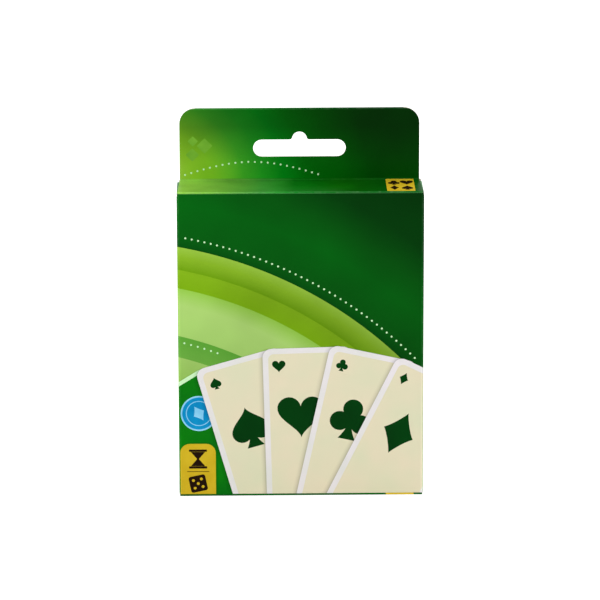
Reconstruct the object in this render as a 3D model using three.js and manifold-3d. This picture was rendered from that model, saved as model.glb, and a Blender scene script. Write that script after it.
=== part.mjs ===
// Card game box: a reverse-tuck folding carton with a doubled hang tab, holding two decks and a leaflet.
// Millimetres. +X is the right of the printed face, +Y the back and +Z up.
// The origin is the middle of the foot that the closed box stands on.

import * as THREE from 'three';
import { mergeVertices } from 'three/addons/utils/BufferGeometryUtils.js';
import Module from 'manifold-3d';

const wasm = await Module();
wasm.setup();

// Carton board; the carton's outer size follows from what it holds
const board = 0.45;
const frontLipDrop = 0.4;
const footCornerRadius = 1.3;

// Hang tab and its slot
const tabShoulder = 1;
const tabHeight = 27.6;
const tabCornerRadius = 6;
const slotLength = 35.4;
const slotHeight = 6.8;
const slotRise = 8.9;
const slotBumpRadius = 3.7;
const slotBumpRise = 3.1;

// Closures: lid and base panels, tuck flaps and dust flaps
const flapGap = 0.1;
const closureInset = 0.25;
const tuckLength = 12;
const tuckSideInset = 1.2;
const tuckCornerRadius = 8;
const tuckClearance = 0.3;
const tuckLean = 3;
const dustLength = 16;
const dustTuckInset = 1.9;
const dustCreaseInset = 0.9;
const dustTuckTaper = 9;
const dustCreaseTaper = 20;
const dustTipRadius = 2;

// Seam flap inside the left side panel
const seamWidth = 12;
const seamEndInset = 3;
const seamEndTaper = 20;

// Cards, the bands round each deck and the folded rules
const cardLength = 87;
const cardWidth = 56;
const cardThickness = 0.3;
const cardCornerRadius = 3.5;
const cardsPerDeck = 52;
const cardsPerPacket = 4;
const packetSlip = 0.5;
const packetSlipShares = [0, 0.6, -0.4, 0.2, -0.8, 0.5, 0.9, -0.3, 0.1, -0.6, 0.7, -0.2, 0.4];
const deckSideRoom = 2.05;
const deckFrontRoom = 2.25;
const deckHeadRoom = 2.2;
const restGap = 0.3;
const bandWidth = 20;
const bandThickness = 0.15;
const bandGap = 0.1;
const leafletLeaf = 0.2;
const leafletLeaves = 4;
const leafletStep = 0.7;
const leafletSideRoom = 3.55;
const leafletHeadRoom = 10.3;
const leafletBackRoom = 2.1;

// One overrun serves every cutting body
const overrun = 1;

// Heights inside the carton: base, dust flaps, two banded decks, dust flaps, lid
const bandReach = bandGap + bandThickness;
const deckPitch = cardWidth + 2 * bandReach + bandGap;
const lowerDustZ = board + flapGap;
const contentsZ = lowerDustZ + board + restGap;
const lowerDeckZ = contentsZ + bandReach;
const contentsTopZ = lowerDeckZ + deckPitch + cardWidth + bandReach;
const upperDustZ = contentsTopZ + deckHeadRoom + board;
const boxHeight = upperDustZ + flapGap + board;
const fullHeight = boxHeight + tabHeight;

// Width: a card's length and the room at its ends
const innerX = cardLength / 2 + deckSideRoom;
const halfWidth = innerX + board;
const boxWidth = 2 * halfWidth;
const tabWidth = boxWidth - 2 * tabShoulder;

// Depth: room for the lid's tuck flap, a deck in its band, the leaflet and room for the base's tuck flap
const deckThickness = cardsPerDeck * cardThickness;
const leafletThickness = leafletLeaf * leafletLeaves;
const deckToLeaflet = bandReach + bandGap;
const innerDepth = deckFrontRoom + deckThickness + deckToLeaflet + leafletThickness + leafletBackRoom;
const innerY = innerDepth / 2;
const halfDepth = innerY + board;
const tabFaceY = innerY - board;
const lidFrontY = tuckClearance - innerY;
const baseBackY = innerY - tuckClearance;
const deckFrontY = deckFrontRoom - innerY;
const leafletY = deckFrontY + deckThickness + deckToLeaflet;

// Printed board, its uncoated inside, cards and paper
const coatedGreen = { color: 0x0a6a14, roughness: 0.35, metalness: 0 };
const coatedLime = { color: 0x3f8f1e, roughness: 0.35, metalness: 0 };
const plainBoard = { color: 0xd9d4c6, roughness: 0.85, metalness: 0 };
const cardStock = { color: 0xe8e2d2, roughness: 0.5, metalness: 0 };
const bandPaper = { color: 0xd4b814, roughness: 0.6, metalness: 0 };
const leafletPaper = { color: 0xf0eee8, roughness: 0.8, metalness: 0 };

const part = new THREE.Group();

// Adds one named piece to a group at a place
function addPiece(group, name, geometry, finish, x = 0, y = 0, z = 0) {
  const mesh = new THREE.Mesh(geometry, new THREE.MeshStandardMaterial(finish));
  mesh.name = name;
  mesh.position.set(x, y, z);
  group.add(mesh);
  return mesh;
}

// A crease group: what hangs on a crease is drawn from the crease itself
function addCrease(group, x, y, z) {
  const crease = new THREE.Group();
  crease.position.set(x, y, z);
  group.add(crease);
  return crease;
}

// Solid body for joining and cutting
function toSolid(geometry) {
  const bare = geometry.clone();
  bare.deleteAttribute('normal');
  bare.deleteAttribute('uv');
  const merged = mergeVertices(bare);
  return new wasm.Manifold(new wasm.Mesh({
    numProp: 3,
    vertProperties: new Float32Array(merged.attributes.position.array),
    triVerts: new Uint32Array(merged.index.array),
  }));
}

// Geometry of a solid body
function toGeometry(solid) {
  const mesh = solid.getMesh();
  const geometry = new THREE.BufferGeometry();
  geometry.setAttribute('position', new THREE.BufferAttribute(mesh.vertProperties, mesh.numProp));
  geometry.setIndex(new THREE.BufferAttribute(mesh.triVerts, 1));
  geometry.computeVertexNormals();
  return geometry;
}

// Closed shape from a list of points
function polygon(points) {
  return new THREE.Shape(points.map(([u, v]) => new THREE.Vector2(u, v)));
}

// Extrusion of a shape, straight up from its own plane
function extrude(shape, thickness, curveSegments = 6) {
  return new THREE.ExtrudeGeometry(shape, { depth: thickness, bevelEnabled: false, curveSegments });
}

// Plate whose outline is drawn as seen from the front; it reaches forward from backY
function uprightPlate(shape, thickness, backY) {
  return extrude(shape, thickness).rotateX(Math.PI / 2).translate(0, backY, 0);
}

// Prism along X whose outline is drawn as y and z
function prismAlongX(shape, length) {
  return extrude(shape, length).rotateZ(Math.PI / 2).rotateY(Math.PI / 2).translate(-length / 2, 0, 0);
}

// Rectangle with its own radius at each corner, from the lower left corner round through the lower right
function roundedRectangle(left, bottom, right, top, radii) {
  const [lowerLeft, lowerRight, upperRight, upperLeft] = radii;
  const shape = new THREE.Shape();
  shape.moveTo(left + lowerLeft, bottom);
  shape.lineTo(right - lowerRight, bottom);
  if (lowerRight > 0) shape.absarc(right - lowerRight, bottom + lowerRight, lowerRight, -Math.PI / 2, 0);
  shape.lineTo(right, top - upperRight);
  if (upperRight > 0) shape.absarc(right - upperRight, top - upperRight, upperRight, 0, Math.PI / 2);
  shape.lineTo(left + upperLeft, top);
  if (upperLeft > 0) shape.absarc(left + upperLeft, top - upperLeft, upperLeft, Math.PI / 2, Math.PI);
  shape.lineTo(left, bottom + lowerLeft);
  if (lowerLeft > 0) shape.absarc(left + lowerLeft, bottom + lowerLeft, lowerLeft, Math.PI, Math.PI * 1.5);
  return shape;
}

// Hang slot: a long round-ended hole with a bump in the middle of its upper edge for the peg
function slotPath(bottom) {
  const endRadius = slotHeight / 2;
  const endX = slotLength / 2 - endRadius;
  const top = bottom + slotHeight;
  const bumpCentre = top + slotBumpRise - slotBumpRadius;
  const chordAngle = Math.asin((top - bumpCentre) / slotBumpRadius);
  const path = new THREE.Path();
  path.moveTo(-endX, bottom);
  path.lineTo(endX, bottom);
  path.absarc(endX, bottom + endRadius, endRadius, -Math.PI / 2, Math.PI / 2);
  path.absarc(0, bumpCentre, slotBumpRadius, chordAngle, Math.PI - chordAngle);
  path.lineTo(-endX, top);
  path.absarc(-endX, bottom + endRadius, endRadius, Math.PI / 2, Math.PI * 1.5);
  return path;
}

// Front panel: folds rounded down both sides and along its foot, with worn lower corners
function frontPanel() {
  const radii = [footCornerRadius, footCornerRadius, 0, 0];
  const face = roundedRectangle(-halfWidth, 0, halfWidth, boxHeight - frontLipDrop, radii);
  const plan = roundedRectangle(-halfWidth, -halfDepth, halfWidth, halfDepth, [board, board, 0, 0]);
  const side = roundedRectangle(-halfDepth, 0, halfDepth, boxHeight, [board, 0, 0, 0]);
  return toGeometry(
    toSolid(uprightPlate(face, board, -innerY))
      .intersect(toSolid(extrude(plan, boxHeight)))
      .intersect(toSolid(prismAlongX(side, boxWidth + overrun))));
}

// Back panel: the body's back, stepping in at the lid to the rear layer of the hang tab
function backPanel() {
  const shape = polygon([
    [-halfWidth, 0], [halfWidth, 0], [halfWidth, boxHeight], [tabWidth / 2, boxHeight],
    [tabWidth / 2, fullHeight - tabCornerRadius],
  ]);
  const cornerX = tabWidth / 2 - tabCornerRadius;
  const cornerZ = fullHeight - tabCornerRadius;
  shape.absarc(cornerX, cornerZ, tabCornerRadius, 0, Math.PI / 2);
  shape.absarc(-cornerX, cornerZ, tabCornerRadius, Math.PI / 2, Math.PI);
  shape.lineTo(-tabWidth / 2, boxHeight);
  shape.lineTo(-halfWidth, boxHeight);
  shape.holes.push(slotPath(boxHeight + slotRise));
  const plan = roundedRectangle(-halfWidth, -halfDepth, halfWidth, halfDepth, [0, 0, board, board]);
  return toGeometry(
    toSolid(uprightPlate(shape, board, halfDepth)).intersect(toSolid(extrude(plan, fullHeight))));
}

// Front layer of the hang tab, drawn from its own foot
function tabFrontLayer() {
  const radii = [0, 0, tabCornerRadius, tabCornerRadius];
  const shape = roundedRectangle(-tabWidth / 2, 0, tabWidth / 2, tabHeight, radii);
  shape.holes.push(slotPath(slotRise));
  return uprightPlate(shape, board, 0);
}

// Side panel, between the dust flaps' creases
function sidePanel() {
  return new THREE.BoxGeometry(board, 2 * innerY, upperDustZ - lowerDustZ);
}

// Seam flap: a strip with slanted ends, glued inside the left side panel
function seamFlap() {
  const rise = Math.tan(THREE.MathUtils.degToRad(seamEndTaper)) * seamWidth;
  const low = lowerDustZ + seamEndInset;
  const high = upperDustZ - seamEndInset;
  const edgeY = innerY - seamWidth;
  const shape = polygon([[edgeY, low + rise], [innerY, low], [innerY, high], [edgeY, high - rise]]);
  return prismAlongX(shape, board);
}

// Lid panel, drawn from its crease: narrower at the hang tab, rounded at the fold of its tuck flap
function lidPanel() {
  const depth = tabFaceY - lidFrontY;
  const profile = roundedRectangle(-depth, -board, 0, 0, [0, 0, 0, board]);
  const frontX = halfWidth - closureInset;
  const plan = polygon([[-frontX, -depth], [frontX, -depth], [tabWidth / 2, 0], [-tabWidth / 2, 0]]);
  return toGeometry(
    toSolid(prismAlongX(profile, boxWidth))
      .intersect(toSolid(extrude(plan, board + 2 * overrun).translate(0, 0, -board - overrun))));
}

// Base panel, drawn from the outer corner of its crease: its back edge is rounded into the tuck flap's fold
function basePanel() {
  const shape = roundedRectangle(board, 0, baseBackY + halfDepth, board, [0, board, 0, 0]);
  return prismAlongX(shape, boxWidth - 2 * closureInset);
}

// Tuck flap hanging from its crease, with rounded free corners
function tuckFlap() {
  const half = innerX - tuckSideInset;
  const radii = [tuckCornerRadius, tuckCornerRadius, 0, 0];
  return uprightPlate(roundedRectangle(-half, -tuckLength, half, 0, radii), board, 0);
}

// Dust flap drawn from its crease, its outer face up: one edge clears the tuck flap, the other the panel's
// crease. The inward side is 1 where it reaches towards +X and -1 where it reaches towards -X.
function dustFlap(inward) {
  const reach = dustLength - board;
  const tuckY = -innerY + dustTuckInset;
  const creaseY = innerY - dustCreaseInset;
  const tuckTipY = tuckY + Math.tan(THREE.MathUtils.degToRad(dustTuckTaper)) * reach;
  const creaseTipY = creaseY - Math.tan(THREE.MathUtils.degToRad(dustCreaseTaper)) * reach;
  const shape = new THREE.Shape();
  const tipX = inward * dustLength;
  const bendX = inward * (dustLength - dustTipRadius);
  shape.moveTo(inward * board, tuckY);
  shape.lineTo(bendX, tuckTipY);
  shape.quadraticCurveTo(tipX, tuckTipY, tipX, tuckTipY + dustTipRadius);
  shape.lineTo(tipX, creaseTipY - dustTipRadius);
  shape.quadraticCurveTo(tipX, creaseTipY, bendX, creaseTipY);
  shape.lineTo(inward * board, creaseY);
  return extrude(shape, board).translate(0, 0, -board);
}

// Deck: cards on their long edges, in small packets that have slipped a little sideways
function deck() {
  const packets = Math.ceil(cardsPerDeck / cardsPerPacket);
  let stack = null;
  for (let index = 0; index < packets; index += 1) {
    const slip = packetSlip * packetSlipShares[index % packetSlipShares.length];
    const first = index * cardsPerPacket;
    const cards = Math.min(cardsPerPacket, cardsPerDeck - first);
    const lap = index === 0 ? 0 : cardThickness / 2;
    const radii = [cardCornerRadius, cardCornerRadius, cardCornerRadius, cardCornerRadius];
    const card = roundedRectangle(slip - cardLength / 2, 0, slip + cardLength / 2, cardWidth, radii);
    const back = (first + cards) * cardThickness;
    const packet = toSolid(uprightPlate(card, cards * cardThickness + lap, back));
    stack = stack === null ? packet : stack.add(packet);
  }
  return toGeometry(stack);
}

// Paper band round the middle of a deck, drawn from the deck's lower front edge
function deckBand() {
  const outer = roundedRectangle(
    -bandReach, -bandReach, deckThickness + bandReach, cardWidth + bandReach,
    [bandReach, bandReach, bandReach, bandReach]);
  const hole = roundedRectangle(
    -bandGap, -bandGap, deckThickness + bandGap, cardWidth + bandGap, [bandGap, bandGap, bandGap, bandGap]);
  outer.holes.push(hole);
  return prismAlongX(outer, bandWidth);
}

// Rules leaflet: a folded sheet whose leaves end in steps at its open side
function rulesLeaflet() {
  const right = innerX - leafletSideRoom;
  const foldRadius = leafletThickness / 2;
  const shape = new THREE.Shape();
  shape.moveTo(foldRadius - right, 0);
  for (let leaf = 0; leaf < leafletLeaves; leaf += 1) {
    const end = right - leafletStep * (leafletLeaves - 1 - leaf);
    shape.lineTo(end, leaf * leafletLeaf);
    shape.lineTo(end, (leaf + 1) * leafletLeaf);
  }
  shape.lineTo(foldRadius - right, leafletThickness);
  shape.absarc(foldRadius - right, foldRadius, foldRadius, Math.PI / 2, Math.PI * 1.5);
  return extrude(shape, upperDustZ - board - leafletHeadRoom - contentsZ);
}

// Sleeve: the four walls, the seam that closes them and the hang tab's front layer
function addSleeve() {
  const middleZ = (upperDustZ + lowerDustZ) / 2;
  addPiece(part, 'front_panel', frontPanel(), coatedGreen);
  addPiece(part, 'back_panel', backPanel(), coatedGreen);
  addPiece(part, 'hang_tab_front', tabFrontLayer(), coatedLime, 0, innerY, boxHeight);
  addPiece(part, 'left_side_panel', sidePanel(), coatedGreen, board / 2 - halfWidth, 0, middleZ);
  addPiece(part, 'right_side_panel', sidePanel(), coatedGreen, halfWidth - board / 2, 0, middleZ);
  addPiece(part, 'seam_flap', seamFlap(), plainBoard, board / 2 - innerX, 0, 0);
}

// Lid: its panel turns at the foot of the hang tab and carries the tuck flap
function addLid() {
  const lid = addCrease(part, 0, tabFaceY, boxHeight);
  addPiece(lid, 'lid_panel', lidPanel(), coatedLime);
  const tuck = addCrease(lid, 0, lidFrontY + board - tabFaceY, -board);
  tuck.rotation.x = THREE.MathUtils.degToRad(tuckLean);
  addPiece(tuck, 'lid_tuck_flap', tuckFlap(), coatedGreen);
}

// Base: its panel turns at the front panel's foot and carries the tuck flap that stands inside the back
function addBase() {
  const base = addCrease(part, 0, -halfDepth, 0);
  addPiece(base, 'base_panel', basePanel(), coatedGreen);
  const tuck = addCrease(base, 0, baseBackY - board + halfDepth, board);
  tuck.rotation.x = Math.PI + THREE.MathUtils.degToRad(tuckLean);
  addPiece(tuck, 'base_tuck_flap', tuckFlap(), coatedGreen);
}

// Dust flaps: two under the lid and two over the base, on the side panels' creases
function addDustFlaps() {
  const closures = [['lid', upperDustZ, 0], ['base', lowerDustZ, Math.PI]];
  for (const [closure, z, roll] of closures) {
    for (const [side, inward] of [['left', 1], ['right', -1]]) {
      const crease = addCrease(part, -inward * halfWidth, 0, z);
      crease.rotation.x = roll;
      addPiece(crease, `${closure}_dust_flap_${side}`, dustFlap(inward), plainBoard);
    }
  }
}

// Contents: two decks, one above the other, each in its band, and the leaflet behind them
function addContents() {
  for (const [index, place] of ['lower', 'upper'].entries()) {
    const z = lowerDeckZ + index * deckPitch;
    addPiece(part, `deck_${place}`, deck(), cardStock, 0, deckFrontY, z);
    addPiece(part, `deck_band_${place}`, deckBand(), bandPaper, 0, deckFrontY, z);
  }
  addPiece(part, 'rules_leaflet', rulesLeaflet(), leafletPaper, 0, leafletY, contentsZ);
}

addSleeve();
addLid();
addBase();
addDustFlaps();
addContents();

export default part;
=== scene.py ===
"""Card game box: a printed folding carton with a doubled hang tab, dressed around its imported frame."""
import logging
import math
from collections.abc import Callable, Sequence
from dataclasses import dataclass, field
from enum import Enum
from functools import cache

import bmesh
import bpy
from mathutils import Matrix, Vector
from mathutils.geometry import delaunay_2d_cdt


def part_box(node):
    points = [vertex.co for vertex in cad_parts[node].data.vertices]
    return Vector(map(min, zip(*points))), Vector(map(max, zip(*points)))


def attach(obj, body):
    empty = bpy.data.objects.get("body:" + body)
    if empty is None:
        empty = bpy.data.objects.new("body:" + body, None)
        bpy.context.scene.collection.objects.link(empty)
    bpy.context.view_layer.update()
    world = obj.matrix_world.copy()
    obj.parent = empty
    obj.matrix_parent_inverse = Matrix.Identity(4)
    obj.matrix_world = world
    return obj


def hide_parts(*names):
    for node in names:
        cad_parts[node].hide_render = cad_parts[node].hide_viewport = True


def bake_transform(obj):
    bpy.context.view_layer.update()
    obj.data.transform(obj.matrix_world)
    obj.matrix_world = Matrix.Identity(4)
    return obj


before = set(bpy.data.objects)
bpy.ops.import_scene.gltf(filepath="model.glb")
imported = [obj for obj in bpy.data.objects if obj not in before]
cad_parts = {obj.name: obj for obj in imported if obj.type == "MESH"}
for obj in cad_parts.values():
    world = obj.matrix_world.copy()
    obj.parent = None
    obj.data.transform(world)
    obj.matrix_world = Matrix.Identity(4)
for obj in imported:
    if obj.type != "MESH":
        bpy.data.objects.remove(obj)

MM = 0.001
FACTOR, FIRST, SECOND = 0, 6, 7  # the inputs of a Mix node that mixes colours
WAVE_LENGTH = 0.314  # of a Wave Texture node whose scale is one
OVERRUN = 1.0  # how far a cut or a print that covers a whole edge runs past it, in millimetres
Point = tuple[float, float]
Outline = list[Point]
Stops = tuple[tuple[float, str], ...]
log = logging.getLogger("card_game_box")


def linear(code: str) -> tuple[float, float, float, float]:
    """Turns an sRGB hex colour into linear light.

    Args:
        code: six hex digits.

    Returns:
        Red, green, blue and an alpha of one.
    """
    channels = [int(code[i:i + 2], 16) / 255 for i in (0, 2, 4)]
    light = [c / 12.92 if c <= 0.04045 else ((c + 0.055) / 1.055) ** 2.4 for c in channels]
    return (light[0], light[1], light[2], 1.0)


def add_node(tree: bpy.types.NodeTree, kind: str, inputs: dict | None = None,
             **settings: object) -> bpy.types.Node:
    """Adds a node with its settings and its links.

    Args:
        tree: the tree that gets the node.
        kind: the node's type name.
        inputs: for each input, by name or number, a value, an output or a node; a list holds several. A node
            stands for its first live output.
        settings: properties of the node itself.

    Returns:
        The new node.
    """
    node = tree.nodes.new(kind)
    for name, value in settings.items():
        setattr(node, name, value)
    for key, given in (inputs or {}).items():
        for value in given if isinstance(given, list) else [given]:
            if isinstance(value, bpy.types.Node):
                value = next(output for output in value.outputs if output.enabled)
            if isinstance(value, bpy.types.NodeSocket):
                tree.links.new(value, node.inputs[key])
            else:
                node.inputs[key].default_value = value
    return node


def blotches(tree: bpy.types.NodeTree, place: bpy.types.NodeSocket, size_mm: float, detail: float = 2.0,
             span: Point = (0.3, 0.7), to: Point = (0.0, 1.0)) -> bpy.types.Node:
    """Soft blotches of a real size: noise whose values within a span are spread to another range.

    Args:
        tree: the tree that gets the nodes.
        place: where the noise is read, in metres.
        size_mm: about how wide a blotch is.
        detail: how many finer layers the noise has.
        span: the noise's values that are spread.
        to: the range that they are spread to.

    Returns:
        The node that gives the spread value.
    """
    noise = add_node(tree, "ShaderNodeTexNoise", {
        "Vector": place, "Scale": 1 / (size_mm * MM), "Detail": detail})
    return add_node(tree, "ShaderNodeMapRange", {
        "Value": noise, "From Min": span[0], "From Max": span[1], "To Min": to[0], "To Max": to[1]})


def new_material(name: str) -> tuple[bpy.types.Material, bpy.types.NodeTree, bpy.types.NodeSocket]:
    """Starts a material.

    Args:
        name: its name.

    Returns:
        The material, its empty tree and a point's place on the piece, in metres.
    """
    material = bpy.data.materials.new(name)
    material.use_nodes = True
    material.node_tree.nodes.clear()
    return material, material.node_tree, add_node(material.node_tree, "ShaderNodeTexCoord").outputs["Object"]


def new_object(name: str, data: bpy.types.ID) -> bpy.types.Object:
    """Puts an object into the scene.

    Args:
        name: its name.
        data: its mesh, lamp or camera.

    Returns:
        The object.
    """
    made = bpy.data.objects.new(name, data)
    bpy.context.scene.collection.objects.link(made)
    return made


# Finishes: what each surface is made of


class Ink(Enum):
    """The named surfaces: the board's inks, its bare faces and cut edges, and the stock of the cards."""

    FIELD = "striped_field_ink"
    TAB = "hang_tab_ink"
    LID = "lid_ink"
    REAR = "rear_green_ink"
    CARD_EDGE = "card_border_ink"
    CARD_FACE = "card_cream_ink"
    GLYPH = "deep_green_ink"
    CARD_BACK = "card_back_green_ink"
    MEDALLION = "blue_medallion_ink"
    MEDALLION_LIGHT = "pale_blue_ink"
    BADGE = "yellow_badge_ink"
    MARK = "dark_brown_ink"
    MINT = "pale_mint_ink"
    LIME = "faint_lime_ink"
    WHITE = "paper_white_ink"
    INSIDE = "uncoated_board_inside"
    CORE = "cut_board_edge"
    RUBBED = "ink_rubbed_board_edge"
    STOCK = "linen_card_stock"


@dataclass(frozen=True)
class PlainPigment:
    """One ink that drifts between two close tones over a few centimetres."""

    colour: str
    drift: str
    drift_mm: float = 28.0

    def build(self, tree: bpy.types.NodeTree, place: bpy.types.NodeSocket) -> bpy.types.Node:
        """Mixes the two tones.

        Args:
            tree: the material's nodes.
            place: the print's place on the unfolded board, in metres.

        Returns:
            The node that gives the colour.
        """
        return add_node(tree, "ShaderNodeMix", {
            FACTOR: blotches(tree, place, self.drift_mm), FIRST: linear(self.colour),
            SECOND: linear(self.drift)}, data_type="RGBA")


@dataclass(frozen=True)
class StripedPigment:
    """Inks that change with the distance from one point of the print: fades and round stripes.

    Each stripe fades between its own stops. It starts with a sharp edge at its first stop. The tone drifts,
    and it changes from left to right and from foot to top.
    """

    centre_mm: Point
    drift_mm: float
    stripes: tuple[Stops, ...]
    stretch: Point = (1.0, 1.0)
    drift: Point = (0.84, 1.12)
    across_mm: Point = (-46.0, 46.0)
    across: Point = (1.0, 1.0)
    rise_mm: Point = (0.0, 100.0)
    rise: Point = (1.0, 1.0)

    def build(self, tree: bpy.types.NodeTree, place: bpy.types.NodeSocket) -> bpy.types.Node:
        """Colours each stripe and changes its tone.

        Args:
            tree: the material's nodes.
            place: the print's place on the unfolded board, in metres.

        Returns:
            The node that gives the colour.
        """
        away = add_node(tree, "ShaderNodeVectorMath", {
            0: place, 1: (self.centre_mm[0] * MM, self.centre_mm[1] * MM, 0.0)}, operation="SUBTRACT")
        stretched = add_node(tree, "ShaderNodeVectorMath", {
            0: away, 1: (*self.stretch, 0.0)}, operation="MULTIPLY")
        distance = add_node(tree, "ShaderNodeVectorMath", {0: stretched}, operation="LENGTH")
        colour = None
        for stops in self.stripes:
            start, end = stops[0][0], stops[-1][0]
            share = add_node(tree, "ShaderNodeMapRange", {
                "Value": distance, "From Min": start * MM, "From Max": end * MM})
            ramp = add_node(tree, "ShaderNodeValToRGB", {"Fac": share})
            elements = ramp.color_ramp.elements
            elements.remove(elements[-1])
            elements[0].color = linear(stops[0][1])
            for mark, code in stops[1:]:
                elements.new((mark - start) / (end - start)).color = linear(code)
            if colour is None:
                colour = ramp
                continue
            beyond = add_node(tree, "ShaderNodeMath", {0: distance, 1: start * MM}, operation="GREATER_THAN")
            colour = add_node(tree, "ShaderNodeMix", {
                FACTOR: beyond, FIRST: colour, SECOND: ramp}, data_type="RGBA")
        tone = blotches(tree, place, self.drift_mm, to=self.drift)
        parts = add_node(tree, "ShaderNodeSeparateXYZ", {"Vector": place})
        for axis, span, to in (("X", self.across_mm, self.across), ("Y", self.rise_mm, self.rise)):
            change = add_node(tree, "ShaderNodeMapRange", {
                "Value": parts.outputs[axis], "From Min": span[0] * MM, "From Max": span[1] * MM,
                "To Min": to[0], "To Max": to[1]})
            tone = add_node(tree, "ShaderNodeMath", {0: tone, 1: change}, operation="MULTIPLY")
        return add_node(tree, "ShaderNodeVectorMath", {0: colour, "Scale": tone}, operation="SCALE")


@dataclass(frozen=True)
class PrintedInk:
    """Offset ink on bleached board under an aqueous varnish: even colour, a soft gloss and faint fibre.

    Along the folds a painted highlight lightens the ink, for the light that the rounded fold catches, and a
    few cracks there show the pale fibre. The varnish is soft, so it mirrors little.
    """

    ink: Ink
    pigment: PlainPigment | StripedPigment
    gloss: float = 0.03
    roughness: Point = (0.35, 0.47)
    fibre_mm: float = 0.5
    fibre_relief_mm: float = 0.02
    ripple_mm: float = 9.0
    ripple_relief_mm: float = 0.12
    # Gain and green tint of the painted highlight that lightens the ink along the folds.
    fold_highlight_gain: float = 1.7
    fold_highlight_tint: tuple[float, float, float] = (0.012, 0.085, 0.03)
    crack_mm: float = 1.6
    crack_span: Point = (0.42, 0.72)
    crack_share: float = 0.13
    bare_fibre: str = "EEF2E2"

    def build(self) -> bpy.types.Material:
        """Makes the material: ink, printed shading, a painted highlight and cracks at the creases, varnish
        and fibre.

        Returns:
            The new material.
        """
        material, tree, body = new_material(self.ink.value)
        place = add_node(tree, "ShaderNodeUVMap", uv_map="print").outputs["UV"]
        shade, wear_and_highlight = (add_node(tree, "ShaderNodeAttribute", attribute_name=name).outputs["Fac"]
                       for name in ("shade", "wear_and_highlight"))
        light = add_node(tree, "ShaderNodeMath", {0: 1.0, 1: shade}, operation="SUBTRACT")
        shaded = add_node(tree, "ShaderNodeVectorMath", {
            0: self.pigment.build(tree, place), "Scale": light}, operation="SCALE")
        # Painted highlight: along the folds the ink is brightened and tinted green, for light on the rounded
        # fold.
        fold_highlight = add_node(tree, "ShaderNodeVectorMath", {
            0: shaded, 1: (self.fold_highlight_gain,) * 3, 2: self.fold_highlight_tint}, operation="MULTIPLY_ADD")
        folded = add_node(tree, "ShaderNodeMix", {
            FACTOR: wear_and_highlight, FIRST: shaded, SECOND: fold_highlight}, data_type="RGBA")
        cracks = blotches(tree, body, self.crack_mm, 6.0, self.crack_span, (0.0, self.crack_share))
        cracked = add_node(tree, "ShaderNodeMath", {0: wear_and_highlight, 1: cracks}, operation="MULTIPLY")
        colour = add_node(tree, "ShaderNodeMix", {
            FACTOR: cracked, FIRST: folded, SECOND: linear(self.bare_fibre)}, data_type="RGBA")
        fibre, ripple = (add_node(tree, "ShaderNodeTexNoise", {
            "Vector": body, "Scale": 1 / (size * MM), "Detail": detail})
            for size, detail in ((self.fibre_mm, 4.0), (self.ripple_mm, 1.0)))
        rough = add_node(tree, "ShaderNodeMapRange", {
            "Value": fibre, "To Min": self.roughness[0], "To Max": self.roughness[1]})
        low = add_node(tree, "ShaderNodeBump", {
            "Strength": 0.35, "Distance": self.ripple_relief_mm * MM, "Height": ripple})
        fine = add_node(tree, "ShaderNodeBump", {
            "Strength": 0.25, "Distance": self.fibre_relief_mm * MM, "Height": fibre, "Normal": low})
        shader = add_node(tree, "ShaderNodeBsdfPrincipled", {
            "Base Color": colour, "Roughness": rough, "Specular IOR Level": self.gloss, "IOR": 1.5,
            "Normal": fine})
        add_node(tree, "ShaderNodeOutputMaterial", {"Surface": shader})
        return material


@dataclass(frozen=True)
class BareFibre:
    """Paper fibre without ink: a matt, slightly flecked surface, pressed smooth or torn rough.

    Long pale and darker fibres lie one way, as the paper machine leaves them.
    """

    ink: Ink
    colour: str
    fleck: str
    fibre_mm: float
    roughness: float
    relief_mm: float
    stretch: float = 5.0

    def build(self) -> bpy.types.Material:
        """Makes the material: flecks, fibre relief and a matt reflection.

        Returns:
            The new material.
        """
        material, tree, body = new_material(self.ink.value)
        laid = add_node(tree, "ShaderNodeMapping", {
            "Vector": body, "Scale": (self.stretch, self.stretch, 1.0)})
        fibre = add_node(tree, "ShaderNodeTexNoise", {
            "Vector": laid, "Scale": 1 / (self.fibre_mm * MM), "Detail": 5.0})
        share = add_node(tree, "ShaderNodeMapRange", {"Value": fibre, "From Min": 0.35, "From Max": 0.75})
        colour = add_node(tree, "ShaderNodeMix", {
            FACTOR: share, FIRST: linear(self.colour), SECOND: linear(self.fleck)}, data_type="RGBA")
        bump = add_node(tree, "ShaderNodeBump", {
            "Strength": 0.5, "Distance": self.relief_mm * MM, "Height": fibre})
        shader = add_node(tree, "ShaderNodeBsdfPrincipled", {
            "Base Color": colour, "Roughness": self.roughness, "Specular IOR Level": 0.25, "Normal": bump})
        add_node(tree, "ShaderNodeOutputMaterial", {"Surface": shader})
        return material


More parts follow.
